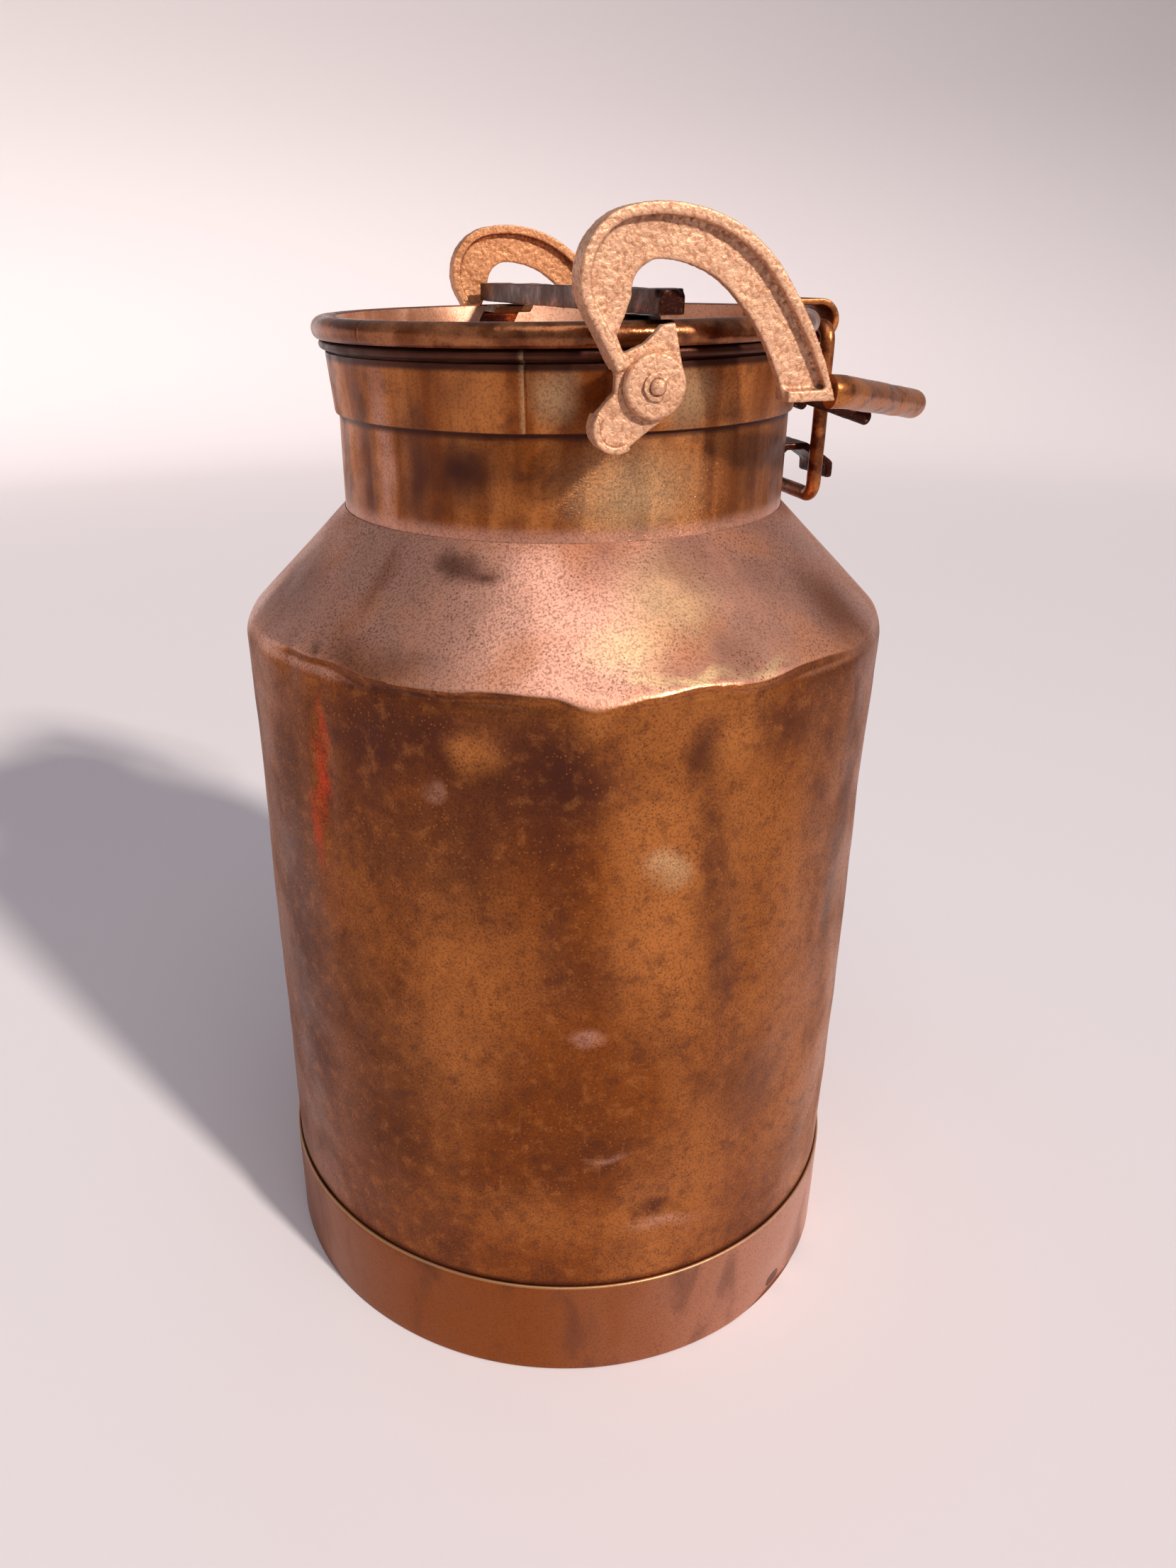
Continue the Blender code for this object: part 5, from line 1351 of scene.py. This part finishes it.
def add_lid(sizes, colours):
    """Rolled rim, its seal and the sunk pan."""
    bead = sizes.rim_bead
    centre = (sizes.neck_radius + FLARE_OUT, RIM_HIGH.z - bead)
    start = -math.pi / 2 + RIM_OPENING
    end = math.pi * 1.5 - RIM_OPENING
    profile = arc(centre, bead, end, start, 26) + arc(centre, bead - SHEET, start, end, 20)

    def rim_shift(angle, height):
        x, y = polar(0.098, math.radians(angle))
        seam = 0.0003 * (1 - smooth(abs(angle - RIM_SEAM), 0.15, 0.45))
        return -0.00022 * (0.5 + 0.5 * wave(x, y, height, 0.018)) - seam if height > centre[1] - bead * 0.4 else 0

    angles = sorted(whole_turn(TURNED_COLUMNS) + [math.radians(RIM_SEAM + step) for step in (-0.4, -0.15, 0.15, 0.4)])
    rim = turned("rolled_rim", profile, shift=rim_shift, angles=angles)
    finish = plain_copper("rim_copper", colours, RIM_COPPER, "umber", RIM_BRIGHT, lump=0.014,
                          gloss=(0.20, 0.38), dark_share=0.7)
    add_piece("rolled_rim", rim, "lid", ["lid_rim"], finish)
    seal_radius = bead - SHEET - GAP
    seal = turned("rim_seal", arc(centre, seal_radius, 0, -math.tau, 24)[:-1])
    add_piece("rim_seal", seal, "lid", ["lid_seal"], shared("old_rubber", lambda: old_rubber(colours)))
    lip = PAN_HIGH.z
    outside = PAN_HIGH.x
    floor = PAN_LOW.z
    taper = PAN_TAPER / (RIM_HIGH.z - floor - SHEET)
    low_side = outside - taper * (lip - floor - PAN_BEND)
    outer = fine([(outside, lip), (low_side, floor + PAN_BEND)], 0.003)
    outer += arc((low_side - PAN_BEND, floor + PAN_BEND), PAN_BEND, 0, -math.pi / 2)[1:]
    outer += fine([(low_side - PAN_BEND, floor), (0, floor)], 0.006)[1:]
    pan = turned("sunk_pan", outer + offset_line(outer, SHEET)[::-1])
    finish = plain_copper("pan_copper", colours, PAN_COPPER, "brown", PAN_BRIGHT, lump=0.024,
                          gloss=(0.36, 0.52), dark_share=0.25)
    add_piece("sunk_pan", pan, "lid", ["lid_pan"], finish)


def pan_inside(height):
    """Inner radius of the pan's tapered wall at a height."""
    return PAN_HIGH.x - SHEET - PAN_TAPER * (PAN_HIGH.z - height) / (RIM_HIGH.z - PAN_LOW.z - SHEET)


def bar_frame():
    """Turns the crossbar's own frame by its skew about the lid's middle."""
    return Matrix.Rotation(BAR_SKEW, 4, "Z")


def leg_frame(base):
    """Places a leg, drawn upright, under the skewed bar with its lean."""
    slant = Matrix.Identity(4)
    slant[0][2] = math.tan(LEG_LEAN)
    return bar_frame() @ Matrix.Translation((0, 0, base)) @ slant @ Matrix.Translation((0, 0, -base))


def chip(centre, size, turn, axis):
    """Small tilted block that breaks an edge of the bar."""
    shape = bmesh.new()
    bmesh.ops.create_cube(shape, size=size)
    bmesh.ops.rotate(shape, verts=shape.verts, matrix=Matrix.Rotation(math.radians(turn), 3, axis))
    bmesh.ops.translate(shape, verts=shape.verts, vec=centre)
    data = bpy.data.meshes.new("chip")
    shape.to_mesh(data)
    shape.free()
    return data


def add_crossbar(sizes, colours):
    """Forged bar across the lid, its two bent legs and their rivets."""
    dark = shared("forged_dark", lambda: forged_dark(colours))
    low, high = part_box("crossbar")
    half = (high.y - low.y - BAR_WIDTH * math.sin(BAR_SKEW)) / 2 / math.cos(BAR_SKEW)
    base = low.z
    outline = [(-BAR_WIDTH / 2, base), (BAR_WIDTH / 2, base), (BAR_WIDTH / 2, base + BAR_HEIGHT),
               (-BAR_WIDTH / 2, base + BAR_HEIGHT)]
    bar = prism("bar", outline, -half, half)
    chips = ((chip((0.0052, -half - 0.001, base + BAR_HEIGHT), 0.0052, 35, "X"), "DIFFERENCE"),
             (chip((-0.0058, -half + 0.001, base + BAR_HEIGHT + 0.0006), 0.0050, 28, "Y"), "DIFFERENCE"),
             (chip((0.0050, half, base + BAR_HEIGHT), 0.0040, 40, "Z"), "DIFFERENCE"))
    data = forged("forged_bar", bar, chips, 0.0007, 4)
    roughen(data, ((0.0007, 0.016), (sizes.forge_grain, 0.004)))
    data.transform(bar_frame())
    add_piece("forged_bar", data, "lid", ["crossbar"], dark)
    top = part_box("crossbar_leg_near")[1].z
    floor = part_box("crossbar_leg_near")[0].z
    spacing = PAN_HIGH.x - LEG_SET_IN
    face = spacing + LEG_THICKNESS / 2
    inner_end = face - LEG_FOOT_LENGTH
    outer = [(inner_end, top)] + arc((face - LEG_BEND, top - LEG_BEND), LEG_BEND, math.pi / 2, 0)
    outer += arc((face - LEG_BEND, floor + LEG_BEND), LEG_BEND, 0, -math.pi / 2) + [(inner_end, floor)]
    across = inner_end + RIVET_HEAD + RIVET_EDGE
    for side, sign in SIDES.items():
        data = strap(f"bar_leg_{side}", outer, LEG_THICKNESS, LEG_WIDTH)
        roughen(data, ((sizes.forge_grain, 0.005),), (sign, 0, 0))
        data.transform(leg_frame(base) @ Matrix.Rotation(sign * math.pi / 2, 4, "Z"))
        add_piece(f"bar_leg_{side}", data, "lid", [f"crossbar_leg_{side}"], dark)
        for label, step in (("front", -1), ("back", 1)):
            place = leg_frame(base) @ Vector((step * LEG_WIDTH / 4, sign * across, PAN_LOW.z + SHEET))
            data = rivet("rivet", RIVET_SHANK, RIVET_HEAD, RIVET_RISE, (place.x, place.y, floor - GAP - SHEET),
                         (place.x, place.y, floor + LEG_THICKNESS + GAP), 48)
            roughen(data, ((0.0003, 0.002),), (step, sign, 0))
            add_piece(f"foot_rivet_{side}_{label}", data, "lid", [f"leg_rivet_{side}_{label}"], dark)


def add_strap(sizes, colours):
    """Strap over the lid's rim, rolled round the link's top run, and its rivets."""
    half = EYE_STRIP / 2
    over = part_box("hinge_strap")[1].z
    centre = (sizes.neck_radius + FLARE_OUT + EYE_OUT, over - half - EYE_ROLL)
    floor = PAN_LOW.z + SHEET
    base = floor + TAB_FLOOR_GAP
    face = math.sqrt(pan_inside(base) ** 2 - (EYE_WIDTH / 2) ** 2) - GAP
    bend = (face - EYE_STRIP + TAB_BEND, over - TAB_BEND)
    outer = [(face - EYE_STRIP, base)] + arc(bend, TAB_BEND, math.pi, math.pi / 2, 8)
    outer += arc(centre, EYE_ROLL + half, math.pi / 2, EYE_ROLL_END, 30)
    data = strap("rolled_strap", outer, EYE_STRIP, EYE_WIDTH)
    roughen(data, ((sizes.forge_grain, 0.005),))
    finish = plain_copper("strap_copper", colours, STRAP_COPPER, "umber", "golden", lump=0.010,
                          gloss=(0.32, 0.50), dark_share=0.8)
    add_piece("rolled_strap", data, "lid", ["hinge_strap"], finish)
    for side, sign in SIDES.items():
        low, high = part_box(f"strap_rivet_{side}")
        y, z = (low.y + high.y) / 2, (low.z + high.z) / 2
        data = rivet("rivet", RIVET_SHANK, RIVET_HEAD, RIVET_RISE, (high.x, y, z), (low.x + RIVET_RISE, y, z), 48)
        roughen(data, ((0.0003, 0.002),), (0, sign, 0))
        add_piece(f"tab_rivet_{side}", data, "lid", [f"strap_rivet_{side}"], finish)


# Stage

def add_light(name, kind, place, power, tint):
    """Light of a kind that faces the can from its place."""
    azimuth, elevation, distance = place
    data = bpy.data.lights.new(name, kind)
    data.energy = power
    data.color = tint
    flat, rise = polar(distance, math.radians(elevation))
    x, y = polar(flat, math.radians(azimuth))
    made = bpy.data.objects.new(name, data)
    made.location = (x, y, rise + LIGHT_TARGET)
    made.rotation_euler = Vector((-x, -y, -rise)).to_track_quat("-Z", "Y").to_euler()
    bpy.context.scene.collection.objects.link(made)
    return data


def add_floor(stage):
    """Floor that curves up into a low round wall on all sides."""
    line = [(0, 0)] + fine([(0.3, 0), (SWEEP_FLAT, 0)], 0.4)
    line += arc((SWEEP_FLAT, SWEEP_CURVE), SWEEP_CURVE, -math.pi / 2, 0, 16)[1:]
    line.append((SWEEP_FLAT + SWEEP_CURVE, SWEEP_TOP))
    angles = whole_turn(SWEEP_COLUMNS)
    vertices = [(0, 0, 0)]
    faces = []
    for radius, height in line[1:]:
        vertices += [(radius * math.cos(a), radius * math.sin(a), height) for a in angles]
    count = len(angles)
    for j in range(count):
        faces.append((0, 1 + j, 1 + (j + 1) % count))
        for i in range(len(line) - 2):
            a = 1 + i * count
            faces.append((a + j, a + count + j, a + count + (j + 1) % count, a + (j + 1) % count))
    data = bpy.data.meshes.new("studio_sweep")
    data.from_pydata(vertices, [], faces)
    data.shade_smooth()
    made = bpy.data.objects.new("studio_sweep", data)
    bpy.context.scene.collection.objects.link(made)
    paint = bpy.data.materials.new("studio_paint")
    paint.use_nodes = True
    shader = paint.node_tree.nodes["Principled BSDF"]
    place = paint.node_tree.nodes.new("ShaderNodeTexCoord")
    split = paint.node_tree.nodes.new("ShaderNodeSeparateXYZ")
    fade = paint.node_tree.nodes.new("ShaderNodeMapRange")
    shades = paint.node_tree.nodes.new("ShaderNodeMix")
    shades.data_type = "RGBA"
    # Painted shade: the wall's paint darkens with height by WALL_SHADE.
    fade.inputs["From Min"].default_value, fade.inputs["From Max"].default_value = FADE_HEIGHTS
    shades.inputs[6].default_value = (*stage.floor, 1)
    shades.inputs[7].default_value = (*(WALL_SHADE * part for part in stage.floor), 1)
    for start, end in ((place.outputs["Object"], split.inputs[0]), (split.outputs[2], fade.inputs[0]),
                       (fade.outputs[0], shades.inputs[0]), (shades.outputs[2], shader.inputs["Base Color"])):
        paint.node_tree.links.new(start, end)
    shader.inputs["Roughness"].default_value = 0.75
    shader.inputs["Specular IOR Level"].default_value = 0.2
    data.materials.append(paint)


def add_camera(stage):
    """Camera at the photograph's place, heading, tilt and roll."""
    heading, tilt, roll = (math.radians(value) for value in CAMERA_TURNS)
    ahead = Vector((math.sin(heading) * math.cos(tilt), math.cos(heading) * math.cos(tilt), -math.sin(tilt)))
    right = ahead.cross(Vector((0, 0, 1))).normalized()
    up = right.cross(ahead)
    tilted_right = right * math.cos(roll) + up * math.sin(roll)
    tilted_up = up * math.cos(roll) - right * math.sin(roll)
    data = bpy.data.cameras.new("camera")
    data.lens = stage.lens
    data.sensor_width = SENSOR_WIDTH
    data.shift_x, data.shift_y = CAMERA_SHIFT
    data.clip_start = NEAR_CLIP
    made = bpy.data.objects.new("camera", data)
    turn = Matrix((tilted_right, tilted_up, -ahead)).transposed().to_4x4()
    made.matrix_world = Matrix.Translation(CAMERA_PLACE) @ turn
    bpy.context.scene.collection.objects.link(made)
    bpy.context.scene.camera = made


def add_stage(stage):
    """Floor, lights, sky and camera."""
    add_floor(stage)
    key = add_light("key", "SUN", KEY_PLACE, stage.key_power, KEY_TINT)
    key.angle = math.radians(stage.key_size)
    overhead = add_light("overhead", "AREA", OVERHEAD_PLACE, stage.top_power, OVERHEAD_TINT)
    overhead.shape = "DISK"
    overhead.size = stage.top_size
    world = bpy.data.worlds.new("sky")
    world.use_nodes = True
    background = world.node_tree.nodes["Background"]
    background.inputs["Color"].default_value = (*SKY_TINT, 1)
    background.inputs["Strength"].default_value = stage.sky
    bpy.context.scene.world = world
    bpy.context.scene.view_settings.view_transform = "Standard"
    add_camera(stage)


# Operators, panel and registration

class ChurnOperator:
    """Shared way of running: build once with the scene's sizes and colours."""

    bl_options = {"REGISTER", "UNDO"}
    build = None

    def execute(self, context):
        scene = context.scene
        type(self).build(scene.churn_sizes, scene.churn_colours)
        return {"FINISHED"}


class CHURN_OT_body(ChurnOperator, bpy.types.Operator):
    """Add the dented barrel and shoulder"""

    bl_idname = "churn.body"
    bl_label = "Barrel and Shoulder"
    build = add_body


class CHURN_OT_foot(ChurnOperator, bpy.types.Operator):
    """Add the foot hoop and the bottom"""

    bl_idname = "churn.foot"
    bl_label = "Foot and Bottom"
    build = add_foot


class CHURN_OT_neck(ChurnOperator, bpy.types.Operator):
    """Add the neck and its lapped collar"""

    bl_idname = "churn.neck"
    bl_label = "Neck and Collar"
    build = add_neck


class CHURN_OT_hook(ChurnOperator, bpy.types.Operator):
    """Add the hook that holds the hinge link"""

    bl_idname = "churn.hook"
    bl_label = "Link Hook"
    build = add_hook


class CHURN_OT_rests(ChurnOperator, bpy.types.Operator):
    """Add the pegs under the grip"""

    bl_idname = "churn.rests"
    bl_label = "Grip Rests"
    build = add_rests


class CHURN_OT_pivots(ChurnOperator, bpy.types.Operator):
    """Add the bosses, rivets and washers of the levers"""

    bl_idname = "churn.pivots"
    bl_label = "Pivots"
    build = add_pivots


class CHURN_OT_levers(ChurnOperator, bpy.types.Operator):
    """Add the two cast levers"""

    bl_idname = "churn.levers"
    bl_label = "Cam Levers"
    build = add_levers


class CHURN_OT_bail(ChurnOperator, bpy.types.Operator):
    """Add the bail handle"""

    bl_idname = "churn.bail"
    bl_label = "Bail Handle"
    build = add_bail


class CHURN_OT_link(ChurnOperator, bpy.types.Operator):
    """Add the hinge's wire link"""

    bl_idname = "churn.link"
    bl_label = "Hinge Link"
    build = add_link


class CHURN_OT_lid(ChurnOperator, bpy.types.Operator):
    """Add the lid's rim, seal and pan"""

    bl_idname = "churn.lid"
    bl_label = "Lid"
    build = add_lid


class CHURN_OT_crossbar(ChurnOperator, bpy.types.Operator):
    """Add the crossbar with its legs and rivets"""

    bl_idname = "churn.crossbar"
    bl_label = "Crossbar"
    build = add_crossbar


class CHURN_OT_strap(ChurnOperator, bpy.types.Operator):
    """Add the lid's rolled hinge strap and its rivets"""

    bl_idname = "churn.strap"
    bl_label = "Hinge Strap"
    build = add_strap


class CHURN_OT_stage(bpy.types.Operator):
    """Add the floor, the lights and the camera"""

    bl_idname = "churn.stage"
    bl_label = "Stage"
    bl_options = {"REGISTER", "UNDO"}

    def execute(self, context):
        add_stage(context.scene.churn_stage)
        return {"FINISHED"}


PIECE_OPERATORS = (
    CHURN_OT_body, CHURN_OT_foot, CHURN_OT_neck, CHURN_OT_hook, CHURN_OT_rests, CHURN_OT_pivots, CHURN_OT_levers,
    CHURN_OT_bail, CHURN_OT_link, CHURN_OT_lid, CHURN_OT_crossbar, CHURN_OT_strap, CHURN_OT_stage,
)


class CHURN_PT_sidebar(bpy.types.Panel):
    """Sizes, colours and pieces of the churn"""

    bl_idname = "CHURN_PT_sidebar"
    bl_label = "Copper Milk Churn"
    bl_space_type = "VIEW_3D"
    bl_region_type = "UI"
    bl_category = "Churn"

    def draw(self, context):
        scene = context.scene
        for group in (scene.churn_sizes, scene.churn_colours, scene.churn_stage):
            box = self.layout.box()
            for name in type(group).__annotations__:
                box.prop(group, name)
        column = self.layout.column(align=True)
        for operator in PIECE_OPERATORS:
            column.operator(operator.bl_idname)


CLASSES = (ChurnSizes, ChurnColours, ChurnStage, *PIECE_OPERATORS, CHURN_PT_sidebar)


def register():
    for made in CLASSES:
        bpy.utils.register_class(made)
    bpy.types.Scene.churn_sizes = PointerProperty(type=ChurnSizes)
    bpy.types.Scene.churn_colours = PointerProperty(type=ChurnColours)
    bpy.types.Scene.churn_stage = PointerProperty(type=ChurnStage)


def unregister():
    for name in ("churn_stage", "churn_colours", "churn_sizes"):
        delattr(bpy.types.Scene, name)
    for made in reversed(CLASSES):
        bpy.utils.unregister_class(made)


def main():
    register()
    for name in ("body", "foot", "neck", "hook", "rests", "pivots", "levers", "bail", "link", "lid", "crossbar",
                 "strap", "stage"):
        getattr(bpy.ops.churn, name)()


if __name__ == "__main__":
    main()
